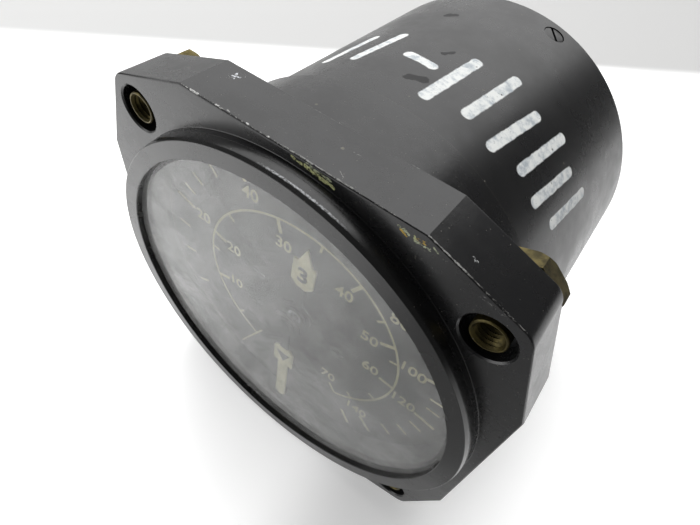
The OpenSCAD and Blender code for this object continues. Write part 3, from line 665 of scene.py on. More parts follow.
@dataclass(frozen=True)
class RubbedHighlitEnamel(Finish):
    """Black enamel on the bezel, with a pale line along its shoulder over a stretch: a painted
    highlight, partly rubbed paint.
    """

    rub_highlight_station: float = -2.5
    rub_highlight_width: Span = (0.04, 0.24)
    rub_highlight_radius: float = 38.8
    rub_highlight_middle: float = 84.0
    rub_highlight_half: float = 12.0
    rub_highlight_full: float = 0.45
    rub_highlight_fray: float = 0.5
    rub_highlight_strength: float = 0.8
    rub_highlight_colour: Colour = (176, 178, 180)
    rub_highlight_roughness: float = 0.4
    ragged: Wave = (0.5, 6.0, 0.75)
    patches: Wave = (0.3, 4.0, 0.7)
    patch_limits: Span = (0.36, 0.6)

    def marks(self, skin: Skin) -> None:
        """Paints a thin, uneven pale line on the shoulder: a painted highlight, partly rubbed
        paint.

        Args:
            skin: What the surface shows so far.
        """
        tree, position = skin.tree, skin.position
        radius, station, turn = tree.axial(position)
        ragged = tree.times(tree.minus(tree.noise(position, *self.ragged), 0.5), self.rub_highlight_fray)
        away = tree.away(tree.maths("ADD", ragged, station), self.rub_highlight_station)
        along, half = tree.away(turn, math.radians(self.rub_highlight_middle)), math.radians(self.rub_highlight_half)
        # painted highlight along the shoulder, partly rubbed paint
        mask = tree.times(tree.step(away, *self.rub_highlight_width, self.rub_highlight_strength, 0.0),
                          tree.step(along, half * self.rub_highlight_full, half, 1.0, 0.0),
                          tree.step(tree.noise(position, *self.patches), *self.patch_limits),
                          tree.maths("GREATER_THAN", radius, self.rub_highlight_radius))
        skin.lay(mask, self.rub_highlight_colour, self.rub_highlight_roughness)


@dataclass(frozen=True)
class Dash:
    """A dash of white paint on the side of the case: two places of angle and station."""

    start: Pair
    end: Pair
    half_width: float = 1.0


@dataclass(frozen=True)
class MarkedEnamel(Finish):
    """Black enamel on the case, with plain dashes of white paint brushed across it."""

    radius: float = 38.2
    dashes: tuple[Dash, ...] = ()
    smudges: tuple[Dash, ...] = ()
    paint: Colour = (226, 228, 226)
    thin_paint: Colour = (168, 176, 182)
    paint_roughness: float = 0.7
    smudge_roughness: float = 0.62
    edge: Wave = (2.4, 5.0, 0.6)
    edge_raggedness: float = 0.14
    smudge_raggedness: float = 0.5
    chipping: Wave = (1.6, 6.0, 0.75)
    chipping_limits: Span = (0.63, 0.66)
    thinness: Wave = (2.6, 5.0, 0.7)
    thinness_limits: Span = (0.42, 0.68)

    def marks(self, skin: Skin) -> None:
        """Brushes the dashes on, thin in places and chipped, and dulls the oily spots.

        Args:
            skin: What the surface shows so far.
        """
        tree = skin.tree
        _, station, turn = tree.axial(skin.position)
        flat = tree.node("CombineXYZ", {0: tree.times(turn, self.radius * MM),
                                        1: tree.times(station, MM)}).outputs[0]
        ragged = tree.noise(flat, *self.edge)
        dull = self.brushed(tree, flat, ragged, self.smudges, self.smudge_raggedness)
        skin.rough = tree.most(skin.rough, tree.times(dull, self.smudge_roughness))
        whole = tree.step(tree.noise(flat, *self.chipping), *self.chipping_limits, 1.0, 0.0)
        brushed = self.brushed(tree, flat, ragged, self.dashes, self.edge_raggedness)
        thin = tree.step(tree.noise(flat, *self.thinness), *self.thinness_limits)
        skin.lay(tree.times(brushed, whole), tree.blend(thin, self.paint, self.thin_paint),
                 self.paint_roughness)

    def brushed(self, tree: Tree, flat: Socket, ragged: Socket, dashes: Iterable[Dash],
                raggedness: float) -> Socket:
        """Masks all of some dashes on the unrolled case.

        Args:
            tree: The material's nodes.
            flat: The place on the unrolled case.
            ragged: The noise that frays the edges.
            dashes: The dashes that are brushed on.
            raggedness: How far the edges are frayed.

        Returns:
            One mask of them all.
        """
        whole: Socket | float = 0.0
        for dash in dashes:
            ends = [(math.radians(a) * self.radius * MM, y * MM, 0.0)
                    for a, y in (dash.start, dash.end)]
            whole = tree.most(whole, tree.effect(
                Effect.STROKE, Position=flat, From=ends[0], To=ends[1], Noise=ragged,
                Half_width=dash.half_width, Raggedness=raggedness))
        return whole


@dataclass(frozen=True)
class TwoTonePaint(Finish):
    """A pointer's paint: black near the hub, and pale from a radius outwards."""

    inner_colour: Colour = (14, 14, 14)
    edge_radius: float = 9.6
    edge_width: float = 0.04

    def marks(self, skin: Skin) -> None:
        """Paints all that lies nearer the axis than the edge black.

        Args:
            skin: What the surface shows so far.
        """
        away = skin.tree.axial(skin.position)[0]
        pale = skin.tree.step(away, self.edge_radius - self.edge_width,
                              self.edge_radius + self.edge_width)
        skin.colour = skin.tree.blend(pale, self.inner_colour, skin.colour)


@dataclass(frozen=True)
class ClearGlass(Finish):
    """Clear glass, faintly greenish, with a little unevenness in its polish."""

    ior: float = 1.5
    tinge: Colour = (248, 252, 250)

    def dress(self, tree: Tree, shader: bpy.types.Node, position: Socket) -> None:
        """Feeds the shader of the glass.

        Args:
            tree: The material's nodes.
            shader: The material's surface shader.
            position: The place on the piece.
        """
        clouds = tree.effect(Effect.CLOUDS, Position=position, Size=self.cloud)
        shader.inputs["Transmission Weight"].default_value = 1.0
        shader.inputs["IOR"].default_value = self.ior
        tree.feed(shader.inputs["Base Color"], tree.blend(clouds, self.colour, self.tinge))
        tree.feed(shader.inputs["Roughness"], tree.spread(clouds, 0.0, self.roughness))


@dataclass(frozen=True)
class DustFilm(Finish):
    """The film of dust and handling that lies on the window."""

    thin: float = 0.1
    thick: float = 0.2
    sheen: float = 0.6
    sheen_roughness: float = 0.5
    film_cloud: float = 14.0
    speck_size: float = 0.9
    speck_cover: float = 0.3
    speck_alpha: float = 0.4

    def dress(self, tree: Tree, shader: bpy.types.Node, position: Socket) -> None:
        """Feeds the shader of the film, which is mostly see-through.

        Args:
            tree: The material's nodes.
            shader: The material's surface shader.
            position: The place on the piece.
        """
        super().dress(tree, shader, position)
        clouds = tree.effect(Effect.CLOUDS, Position=position, Size=self.film_cloud)
        specks = tree.effect(Effect.DUST, Position=position, Size=self.speck_size,
                             Cover=self.speck_cover)
        shader.inputs["Sheen Weight"].default_value = self.sheen
        shader.inputs["Sheen Roughness"].default_value = self.sheen_roughness
        tree.feed(shader.inputs["Alpha"], tree.most(
            tree.spread(clouds, self.thin, self.thick), tree.times(specks, self.speck_alpha)))


CHIPS = (
    Chip((-18.1, 0.22, 41.2), (-16.6, 0.24, 41.2), 0.13, solid=1.0),
    Chip((-13.2, 0.3, 41.2), (-12.85, 0.3, 41.2), 0.15, solid=1.0),
    Chip((-11.3, 0.5, 41.25), (-10.9, 0.4, 41.2), 0.12, RUBBED, solid=0.8),
    Chip((-7.7, 0.3, 41.2), (-7.4, 0.3, 41.2), 0.12, solid=1.0),
    Chip((-4.0, 0.25, 41.2), (-3.85, 0.25, 41.2), 0.11, solid=1.0),
    Chip((-20.2, 0.22, 41.18), (-1.5, 0.22, 41.18), 0.09, RUBBED, 0.08, solid=0.36),
    Chip((-1.5, 0.25, 41.2), (9.5, 0.25, 41.2), 0.13, SCUFFED, 0.08, solid=0.52),
    Chip((9.5, 0.2, 41.15), (20.0, 0.2, 41.15), 0.06, SCUFFED, 0.06, solid=0.4),
    Chip((0.3, 0.0, 40.62), (2.4, 0.0, 40.4), 0.24, PRIMER, 0.25, solid=0.5),
    Chip((2.4, 0.0, 40.5), (4.9, 0.0, 40.15), 0.34, PRIMER, 0.3, solid=0.52),
    Chip((4.9, 0.0, 40.1), (6.9, 0.0, 39.85), 0.3, PRIMER, 0.2, solid=0.6),
    Chip((2.6, 0.0, 40.9), (6.4, 0.0, 40.55), 0.2, PALE, 0.2, solid=0.5),
    Chip((16.45, 0.0, 40.25), (16.7, 0.0, 40.15), 0.17, PALE, solid=0.62),
    Chip((17.2, 0.0, 40.1), (17.9, 0.0, 39.85), 0.27, PALE, 0.2, solid=0.6),
    Chip((16.9, 0.0, 39.85), (17.8, 0.0, 39.4), 0.15, YELLOW, 0.15, solid=0.7),
    Chip((18.75, 0.0, 40.1), (18.95, 0.0, 39.5), 0.17, PRIMER, 0.15, solid=0.6),
    Chip((19.3, 0.0, 39.95), (20.2, 0.0, 39.8), 0.3, YELLOW, 0.3, solid=0.42),
    Chip((19.0, 0.0, 39.45), (20.9, 0.0, 39.55), 0.25, PALE, 0.3, solid=0.5),
    Chip((21.3, 0.0, 40.15), (22.0, 0.0, 39.75), 0.11, PALE, solid=0.7),
    Chip((20.2, 0.25, 41.2), (25.6, 0.25, 39.33), 0.1, RUBBED, 0.1, solid=0.62),
    Chip((25.6, 0.25, 39.33), (28.2, 0.25, 38.44), 0.08, SCUFFED, 0.08, solid=0.55),
    Chip((28.2, 0.2, 38.44), (34.6, 0.2, 36.25), 0.08, SCUFFED, solid=0.42),
    Chip((25.4, 2.5, 39.42), (25.9, 2.5, 39.25), 0.16, SILVERY, 0.3, solid=0.42),
    Chip((28.4, 0.0, 37.5), (31.9, 0.0, 36.9), 0.3, RUBBED, 0.5, solid=0.3),
    Chip((-16.8, 6.75, 41.25), (-15.8, 7.1, 41.25), 0.16, WHITE, 0.3, solid=0.66),
    Chip((-16.7, 7.5, 41.25), (-16.0, 6.2, 41.25), 0.14, WHITE, 0.3, solid=0.6),
    Chip((-17.2, 5.6, 41.25), (-15.9, 8.0, 41.25), 0.5, RUBBED, 0.6, solid=0.25),
    Chip((6.55, 1.6, 41.25), (7.5, 1.0, 41.25), 0.06, SCUFFED, 0.03, solid=0.6),
    Chip((5.6, 5.7, 41.25), (6.7, 5.75, 41.25), 0.05, SCUFFED, 0.03, solid=0.6),
    Chip((12.2, 9.2, 41.25), (13.4, 9.1, 41.25), 0.06, SCUFFED, 0.03, solid=0.6),
    Chip((-5.0, 9.3, 41.2), (2.0, 9.3, 41.2), 0.11, RUBBED, 0.08, solid=0.55),
)

DASHES = (
    Dash((120.5, 32.5), (117.5, 45.5), 1.05),
    Dash((111.5, 33.5), (108.5, 46.5), 1.05),
    Dash((99.2, 38.7), (91.2, 37.6), 1.15),
    Dash((85.5, 29.0), (84.0, 45.5), 1.2),
    Dash((75.0, 31.5), (73.0, 48.5), 1.2),
    Dash((65.5, 30.0), (62.5, 45.5), 1.15),
    Dash((56.0, 32.5), (53.0, 48.5), 1.15),
    Dash((47.5, 31.5), (44.5, 46.0), 1.1),
    Dash((38.5, 34.5), (35.5, 49.0), 1.1),
)

SMUDGES = (
    Dash((105.5, 60.2), (103.2, 61.0), 0.9),
    Dash((92.4, 43.2), (90.9, 44.6), 0.7),
    Dash((92.6, 31.6), (89.4, 32.6), 1.1),
)

FINISHES: dict[str, Finish] = {
    "housing_enamel": ChippedEnamel("black casting enamel", (25, 25, 26), 0.27, shade=0.3,
                                    cloud=9, grain=0.9, depth=0.02, dust=0.14, dust_size=0.4,
                                    dust_colour=FRONT_DUST, wear=0.34,
                                    wear_colour=WORN_ENAMEL, chips=CHIPS),
    "bezel_enamel": RubbedHighlitEnamel("black bezel enamel", (22, 22, 22), 0.25, shade=0.3, cloud=7,
                                 grain=1.1, depth=0.015, dust=0.12, dust_size=0.4,
                                 dust_colour=FRONT_DUST, wear=0.3, wear_colour=WORN_ENAMEL),
    "cover_glass": ClearGlass("window glass", (255, 255, 254), 0.03, cloud=12),
    "black_rubber": Finish("black rubber", (26, 26, 27), 0.7, grain=0.25, depth=0.02),
    "dial_black": Finish("matt dial black", (24, 24, 25), 0.62, cloud=5, grain=0.12,
                         depth=0.006, dust=0.06, dust_size=0.5),
    "dial_cream": Finish("cream dial print", CREAM, 0.6, shade=0.08, cloud=3, grain=0.1,
                         depth=0.004, dust=0.0),
    "black_screws": Finish("black oxide", (24, 24, 26), 0.38, metallic=0.6, grain=0.2,
                           depth=0.006, wear=0.5),
    "brass": Finish("turned brass", (196, 162, 96), 0.3, metallic=1.0, shade=0.15,
                    turning=0.12, depth=0.004, dust=0.03),
    "nut_brass": Finish("dull anchor nut brass", (100, 90, 52), 0.42, metallic=0.8,
                        shade=0.4, cloud=2, grain=0.3, depth=0.01, dust=0.1, wear=0.35,
                        wear_colour=(134, 122, 84)),
    "bronze": Finish("oiled bronze", (150, 104, 66), 0.34, metallic=1.0, turning=0.1,
                     depth=0.004, dust=0.03),
    "aluminium": Finish("rolled aluminium", (196, 198, 200), 0.4, metallic=1.0, shade=0.1,
                        grain=0.2, depth=0.004, dust=0.04),
    "steel": Finish("ground steel", (180, 182, 186), 0.28, metallic=1.0, shade=0.12,
                    turning=0.08, depth=0.003, dust=0.03),
    "motor_can": Finish("plated motor can", (150, 152, 156), 0.36, metallic=0.9, shade=0.18,
                        turning=0.3, depth=0.004, dust=0.08),
    "phenolic_brown": Finish("brown phenolic", (92, 52, 32), 0.42, shade=0.3, cloud=2.5,
                             grain=0.3, depth=0.006),
    "carbon_black": Finish("carbon track", (28, 28, 30), 0.5, turning=0.2, depth=0.005,
                           dust=0.02),
    "board_green": Finish("varnished glass-fibre board", (74, 92, 52), 0.34, shade=0.25,
                          cloud=4, grain=0.5, depth=0.01),
    "core_steel": Finish("varnished core plates", (88, 84, 80), 0.45, metallic=0.7, shade=0.3,
                         grain=0.35, depth=0.02),
    "coil_tape": Finish("varnished cotton tape", (176, 142, 74), 0.6, shade=0.2, cloud=2,
                        grain=0.25, depth=0.03),
    "capacitor_blue": Finish("blue capacitor sleeve", (46, 86, 140), 0.36, shade=0.15,
                             grain=0.4, depth=0.005),
    "case_enamel": MarkedEnamel("black case enamel", (24, 24, 25), 0.3, shade=0.3, cloud=11,
                                turning=0.5, depth=0.006, dust=0.13, dust_size=0.42,
                                dust_colour=CASE_DUST, wear=0.34,
                                wear_colour=(110, 110, 108), dashes=DASHES, smudges=SMUDGES),
    "connector_shell": Finish("grey conversion coat", (120, 122, 112), 0.42, metallic=0.8,
                              shade=0.2, cloud=4, turning=0.25, depth=0.006, wear=0.4),
    "insert_red": Finish("red silicone insert", (150, 52, 40), 0.55, shade=0.2, cloud=3,
                         grain=0.2, depth=0.01),
    "gold_contact": Finish("gold plate", (226, 186, 98), 0.22, metallic=1.0, shade=0.1,
                           turning=0.1, depth=0.002, dust=0.02),
}
FINISHES["pointer_cream"] = FINISHES["dial_cream"]

INK = Finish("black dial ink", (22, 22, 22), 0.6, grain=0.1, depth=0.004, dust=0.0)
SHORT_PAINT, LONG_PAINT = (
    TwoTonePaint(name, CREAM, 0.55, shade=0.08, cloud=3, grain=0.15, depth=0.004, dust=0.05,
                 edge_radius=radius)
    for name, radius in (("short pointer paint", 9.6), ("long pointer paint", 9.5)))
HUB_BLACK = Finish("hub black", (20, 20, 21), 0.75, grain=0.2, depth=0.004, dust=0.06)
SCREW_PAINT = Finish("painted over screw", (24, 24, 25), 0.34, grain=0.6, depth=0.01, dust=0.13,
                     dust_size=0.42, dust_colour=CASE_DUST, wear=0.3,
                     wear_colour=(120, 120, 118))
FILM = DustFilm("window dust film", (228, 228, 226), 0.9, grain=0.3, depth=0.002, dust=0.2,
                dust_size=0.7, dust_colour=(245, 245, 240), gloss=0.0)


# Modelling


class Part(Enum):
    """What edit mode selects."""

    POINTS = "VERT"
    EDGES = "EDGE"
    FACES = "FACE"


Test = Callable[[Vector], bool]


def fresh() -> None:
    """Leaves edit mode and deselects everything."""
    if bpy.context.object and bpy.context.object.mode != "OBJECT":
        bpy.ops.object.mode_set(mode="OBJECT")
    bpy.ops.object.select_all(action="DESELECT")


def hold(thing: bpy.types.Object) -> None:
    """Selects one object alone.

    Args:
        thing: The object.
    """
    fresh()
    thing.select_set(True)
    bpy.context.view_layer.objects.active = thing


def settle() -> None:
    """Applies the held object's place, turn and size to its mesh."""
    bpy.ops.object.transform_apply(location=True, rotation=True, scale=True)


def at_station(station: float) -> Test:
    """Makes the test for what lies at a station."""
    return lambda middle: abs(middle.y - station) < NEAR


def on_diagonal(middle: Vector) -> bool:
    """Tells whether a place is as far from the axis along X as along Z."""
    return abs(abs(middle.x) - abs(middle.z)) < 10 * NEAR


class Work:
    """A piece on the bench. Its methods are the operators of edit mode, in millimetres."""

    def __init__(self, name: str) -> None:
        """Takes up the object that was just added."""
        self.object: bpy.types.Object = bpy.context.object
        self.object.name = self.object.data.name = name

    @classmethod
    def plate(cls, name: str, width: float, height: float, front: float, back: float,
              corner: float = 0.0) -> Work:
        """Starts from a plane that faces the front and extrudes it to a plate.

        Args:
            name: The piece's name.
            width: Size along X.
            height: Size along Z.
            front: Station of the front face.
            back: Station of the back face.
            corner: Rounding of the four corners.

        Returns:
            The plate.
        """
        fresh()
        bpy.ops.mesh.primitive_plane_add(size=MM, rotation=(math.pi / 2, 0, 0),
                                         location=(0, front * MM, 0))
        work = cls(name)
        work.object.scale = (width, height, 1)
        settle()
        work.pick(Part.POINTS)
        if corner:
            bpy.ops.mesh.bevel(offset=corner * MM, segments=6, affect="VERTICES")
        return work.extrude(back - front)

    @classmethod
    def turned(cls, name: str, outline: Outline, steps: int = 128,
               axis: Vector = Vector()) -> Work:
        """Draws an outline point by point and spins it about a line along Y.

        Args:
            name: The piece's name.
            outline: Points of radius and station. It ends on the axis or closes on itself.
            steps: Number of faces round the piece.
            axis: A point of the line.

        Returns:
            The turned piece.
        """
        fresh()
        first = (axis + Vector((outline[0][0], outline[0][1], 0))) * MM
        bpy.ops.mesh.primitive_plane_add(size=MM, location=first)
        work = cls(name)
        settle()
        work.pick(Part.POINTS)
        bpy.ops.mesh.merge(type="CENTER")
        ends = list(outline[1:]) + ([outline[0]] if outline[0][0] > 0 else [])
        for here, there in zip(outline, ends):
            move = ((there[0] - here[0]) * MM, (there[1] - here[1]) * MM, 0)
            bpy.ops.mesh.extrude_region_move(TRANSFORM_OT_translate={"value": move})
        bpy.ops.mesh.select_all(action="SELECT")
        bpy.ops.mesh.spin(steps=steps, angle=math.tau, center=axis * MM, axis=(0, 1, 0))
        return work.tidy()

    @classmethod
    def prism(cls, name: str, sides: int, across: float, front: float, back: float,
              centre: Vector) -> Work:
        """Starts from a cylinder with flat sides along Y.

        Args:
            name: The piece's name.
            sides: Number of flats.
            across: Distance across the flats.
            front: Station of the front face.
            back: Station of the back face.
            centre: A point of the axis.

        Returns:
            The prism.
        """
        fresh()
        bpy.ops.mesh.primitive_cylinder_add(
            vertices=sides, radius=across / 2 / math.cos(math.pi / sides) * MM,
            depth=(back - front) * MM, rotation=(math.pi / 2, 0, 0),
            location=(centre.x * MM, (front + back) / 2 * MM, centre.z * MM))
        work = cls(name)
        settle()
        return work

    @classmethod
    def words(cls, name: str, text: str, size: float, centre: Vector, thickness: float,
              bolder: float = 0.0) -> Work:
        """Sets a figure as flat raised print that faces the front.

        Args:
            name: The piece's name.
            text: The figures.
            size: Height of the type.
            centre: Middle of the print's back face.
            thickness: How far it stands out.
            bolder: How much its strokes are widened.

        Returns:
            The print.
        """
        fresh()
        bpy.ops.object.text_add()
        letters = bpy.context.object.data
        letters.body, letters.size = text, size * MM
        letters.align_x, letters.align_y = "CENTER", "CENTER"
        letters.extrude, letters.offset = thickness / 2 * MM, bolder * MM
        letters.resolution_u = 6
        bpy.ops.object.convert(target="MESH")
        work = cls(name)
        middle = centre - Vector((0, thickness / 2, 0))
        work.object.matrix_world = (Matrix.Translation(middle * MM)
                                    @ Matrix.Rotation(math.pi / 2, 4, "X"))
        settle()
        return work.tidy()

    def pick(self, part: Part, test: Test | None = None) -> Work:
        """Selects points, edges or faces in edit mode, all or those that pass a test.

        Args:
            part: What is selected.
            test: Called with the middle of each one's corners, in millimetres.

        Returns:
            The piece itself.
        """
        if self.object.mode != "EDIT":
            bpy.ops.object.mode_set(mode="EDIT")
        bpy.ops.mesh.select_mode(type=part.value)
        bpy.ops.mesh.select_all(action="DESELECT" if test else "SELECT")
        if test is None:
            return self
        bpy.ops.object.mode_set(mode="OBJECT")
        mesh = self.object.data
        for thing in {Part.POINTS: mesh.vertices, Part.EDGES: mesh.edges,
                      Part.FACES: mesh.polygons}[part]:
            corners = getattr(thing, "vertices", [thing.index])
            total = sum((mesh.vertices[i].co for i in corners), Vector())
            thing.select = test(total / len(corners) / MM)
        bpy.ops.object.mode_set(mode="EDIT")
        return self

    def extrude(self, depth: float) -> Work:
        """Extrudes what is selected along Y, and turns all faces outwards.

        Args:
            depth: How far it goes, to the back where positive.

        Returns:
            The piece itself.
        """
        bpy.ops.mesh.extrude_region_move(TRANSFORM_OT_translate={"value": (0, depth * MM, 0)})
        bpy.ops.mesh.select_all(action="SELECT")
        bpy.ops.mesh.normals_make_consistent(inside=False)
        return self

    def bevel(self, width: float, segments: int = 3) -> Work:
        """Bevels the selected edges."""
        bpy.ops.mesh.bevel(offset=width * MM, segments=segments, affect="EDGES")
        return self

    def tidy(self) -> Work:
        """Merges doubles and turns all faces outwards.

        Returns:
            The piece itself, in object mode.
        """
        self.pick(Part.POINTS)
        bpy.ops.mesh.remove_doubles(threshold=SAME_PLACE)
        bpy.ops.mesh.normals_make_consistent(inside=False)
        bpy.ops.object.mode_set(mode="OBJECT")
        return self

    def combine(self, tool: Work, operation: str = "DIFFERENCE") -> Work:
        """Cuts the tool out of the piece, or joins it or keeps what both share.

        Args:
            tool: The other piece, which is used up.
            operation: The Boolean modifier's operation.

        Returns:
            The piece itself.
        """
        hold(self.object)
        change = self.object.modifiers.new("combine", "BOOLEAN")
        change.operation, change.solver, change.object = operation, "EXACT", tool.object
        bpy.ops.object.modifier_apply(modifier=change.name)
        bpy.data.objects.remove(tool.object, do_unlink=True)
        return self

    def copy(self, name: str, place: Matrix) -> Work:
        """Copies the piece with its own mesh and moves the copy, whose place is applied.

        Args:
            name: The copy's name.
            place: Where it goes, and how it is turned.

        Returns:
            The copy.
        """
        fresh()
        twin = self.object.copy()
        twin.data = self.object.data.copy()
        bpy.context.scene.collection.objects.link(twin)
        hold(twin)
        twin.matrix_world = place
        settle()
        return Work(name)

    def discard(self) -> None:
        """Takes a pattern piece off the bench once its copies are made."""
        bpy.data.objects.remove(self.object, do_unlink=True)

    def finish(self, slot: str, body: str = "case", stands_for: Iterable[str] = (),
               finish: Finish | None = None, angle: float = 35.0) -> bpy.types.Object:
        """Smooths the piece, gives it its material and lets it ride.

        Args:
            slot: The record's material slot.
            body: The body that it rides on.
            stands_for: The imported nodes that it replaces.
            finish: Its finish, where it isn't the slot's.
            angle: Edges sharper than this stay sharp, in degrees.

        Returns:
            The finished object.
        """
        hold(self.object)
        bpy.ops.object.shade_smooth_by_angle(angle=math.radians(angle))
        level = self.object.modifiers.new("level faces", "WEIGHTED_NORMAL")
        level.keep_sharp = True
        bpy.ops.object.modifier_apply(modifier=level.name)
        self.object.data.materials.clear()
        self.object.data.materials.append((finish or FINISHES[slot]).material())
        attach(self.object, body)
        for node in stands_for:
            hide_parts(node)
        LOG.info("%s: %d faces", self.object.name, len(self.object.data.polygons))
        return self.object


def moved(place: Vector, turn: float = 0.0) -> Matrix:
    """Gives the matrix that turns a piece about Y and moves it to a place in millimetres."""
    return Matrix.Translation(place * MM) @ Matrix.Rotation(-math.radians(turn), 4, "Y")


# Sub-assemblies


@dataclass
class Housing:
    """The front casting: flange with lugs, boss, neck and spigot."""

    half: float = 41.25
    flat: float = 20.2
    lug: float = 35.85
    lug_tangent: float = 1.461
    thickness: float = 9.4
    edge: float = 0.35
    screw_circle: float = 44.45
    flange_bore: float = 38.7
    front: float = -1.05
    corner: float = 0.015
    boss: float = 39.4
    boss_foot: float = 39.5
    fillet: float = 0.15
    seat: float = 38.26
    seat_floor: float = 4.15
    well: float = 37.2
    overlap: float = 0.2
    neck: float = 39.1
    neck_root: float = 0.5
    neck_back: float = 22.4
    chamfer: float = 0.3
    spigot: float = 36.6
    spigot_back: float = 30.4
    bore: float = 35.0
    ledge: float = 30.9
    ledge_front: float = 6.2
    ledge_back: float = 9.0
    ledge_chamfer: float = 0.2
    screw_hole: Outline = (
        (0, -6), (4.05, -6), (4.05, 0), (3.8, 0.25), (3.8, 3.0), (2.62, 3.0), (2.62, 9.3),
        (6.17, 9.4), (6.17, 13.8), (0, 13.8))

    def build(self) -> None:
        """Models the casting and its machined faces."""
        flange = self.flange()
        flange.combine(Work.turned("flange bore", [
            (0, -5), (self.flange_bore, -5), (self.flange_bore, 15), (0, 15)]))
        flange.combine(self.core(), "UNION")
        for corner in range(4):
            flange.combine(Work.turned("screw_cutter", self.screw_hole, 64,
                                       polar(self.screw_circle, 45 + 90 * corner)))
        flange.object.name = "front_casting"
        flange.finish("housing_enamel", stands_for=["front_housing"], angle=17)

    def flange(self) -> Work:
        """Shapes the flange from a square: cut corners, drawn out lugs, rounded edges.

        Returns:
            The flange, without its bore and holes.
        """
        fresh()
        bpy.ops.mesh.primitive_plane_add(size=2 * self.half * MM, rotation=(math.pi / 2, 0, 0))
        work = Work("front_flange")
        settle()
        work.pick(Part.POINTS)
        bpy.ops.mesh.bevel(offset=(self.half - self.flat) * MM, segments=1, affect="VERTICES")
        work.pick(Part.EDGES, on_diagonal)
        bpy.ops.mesh.subdivide(number_cuts=1)
        work.pick(Part.POINTS, on_diagonal)
        draw = self.lug / ((self.half + self.flat) / 2)
        bpy.ops.transform.resize(value=(draw, 1, draw), center_override=(0, 0, 0))
        bpy.ops.mesh.bevel(offset=self.lug_tangent * MM, segments=8, affect="VERTICES")
        work.pick(Part.FACES)
        work.extrude(self.thickness)
        for face in (0.0, self.thickness):
            work.pick(Part.EDGES, at_station(face)).bevel(self.edge)
        return work.tidy()

    def core(self) -> Work:
        """Turns the boss, neck, spigot and ledge as one ring.

        Returns:
            The ring, which is joined to the flange.
        """
        foot, root = self.boss_foot + self.fillet, self.neck + self.neck_root
        return Work.turned("casting_core", [
            (self.seat, self.front), (self.boss - self.corner, self.front),
            (self.boss, self.front + self.corner),
            *arc((foot, -self.fillet), self.fillet, 180, 90, 4), (foot, self.overlap),
            (root, self.overlap), (root, self.thickness),
            *arc((root, self.thickness + self.neck_root), self.neck_root, 270, 180, 4),
            (self.neck, self.neck_back - self.chamfer),
            (self.neck - self.chamfer, self.neck_back), (self.spigot, self.neck_back),
            (self.spigot, self.spigot_back - self.chamfer),
            (self.spigot - self.chamfer, self.spigot_back), (self.bore, self.spigot_back),
            (self.bore, self.ledge_back), (self.ledge + self.ledge_chamfer, self.ledge_back),
            (self.ledge, self.ledge_back - self.ledge_chamfer),
            (self.ledge, self.ledge_front + self.ledge_chamfer),
            (self.ledge + self.ledge_chamfer, self.ledge_front), (self.well, self.ledge_front),
            (self.well, self.seat_floor), (self.seat, self.seat_floor)], 160)


@dataclass
class Bezel:
    """The screwed bezel ring, the window and the film of dust on it."""

    outer: float = 39.4
    window: float = 36.0
    front: float = -3.3
    glass: float = -2.1
    back: float = -1.05
    shoulder: Pair = (39.24, -2.6)
    crown: float = 0.02
    corner: float = 0.015
    face: float = 38.98
    bevel: float = 0.12
    face_edge: Outline = ((-0.06, 0.0), (0.02, 0.05))
    shoulder_edge: Pair = (-0.03, -0.08)
    thread: float = 38.2
    thread_back: float = 3.85
    chamfer: float = 0.3
    inside: float = 37.1
    film_gap: float = 0.006
    film_front: float = 0.012
    film_margin: float = 0.05

    def build(self) -> None:
        """Turns the ring with its crowned side, and lays the film on the glass."""
        side, station = self.shoulder
        crown = [(self.outer - (self.outer - side) * t + self.crown * 4 * t * (1 - t),
                  self.back - self.corner + (station - self.back + self.corner) * t)
                 for t in (1.0, 0.8, 0.6, 0.4, 0.2, 0.0)]
        Work.turned("bezel", [
            (self.window, self.glass), (self.window, self.front + self.bevel),
            (self.window + self.bevel, self.front),
            *[(self.face + out, self.front + back) for out, back in self.face_edge],
            (side + self.shoulder_edge[0], station + self.shoulder_edge[1]),
            *crown, (self.outer - self.corner, self.back),
            (self.thread, self.back), (self.thread, self.thread_back - self.chamfer),
            (self.thread - self.chamfer, self.thread_back), (self.inside, self.thread_back),
            (self.inside, self.glass)], 192).finish(
                "bezel_enamel", stands_for=["bezel_ring"], angle=17)
        edge, near, far = (self.window - self.film_margin, self.glass - self.film_gap,
                           self.glass - self.film_front)
        Work.turned("window_film", [(0, far), (edge, far), (edge, near), (0, near)], 96).finish(
            "cover_glass", finish=FILM)


@dataclass
class Dial:
    """The figures printed on the dial plate."""

    face: float = 5.4
    print_thickness: float = 0.05
    size: float = 3.7
    bolder: float = 0.05
    inner: tuple[tuple[str, float, float], ...] = (
        ("10", 17.6, 197), ("20", 17.6, 162), ("30", 17.2, 104.4), ("40", 17.4, 58.6),
        ("50", 17.4, 26.4), ("60", 17.4, -2.4), ("70", 17.2, -58))
    outer: tuple[tuple[str, float, float], ...] = (
        ("20", 26.2, 160), ("40", 26.2, 116.5), ("60", 26.6, 75), ("80", 26.2, 41.6),
        ("100", 25.7, 16.3), ("120", 25.6, -8.4), ("140", 26.2, -48.8))

    def build(self) -> None:
        """Prints the figures of both scales."""
        for scale, figures in (("inner", self.inner), ("outer", self.outer)):
            for text, radius, angle in figures:
                Work.words(f"{scale}_figure_{text}", text, self.size,
                           polar(radius, angle, self.face), self.print_thickness,
                           self.bolder).finish("dial_cream")


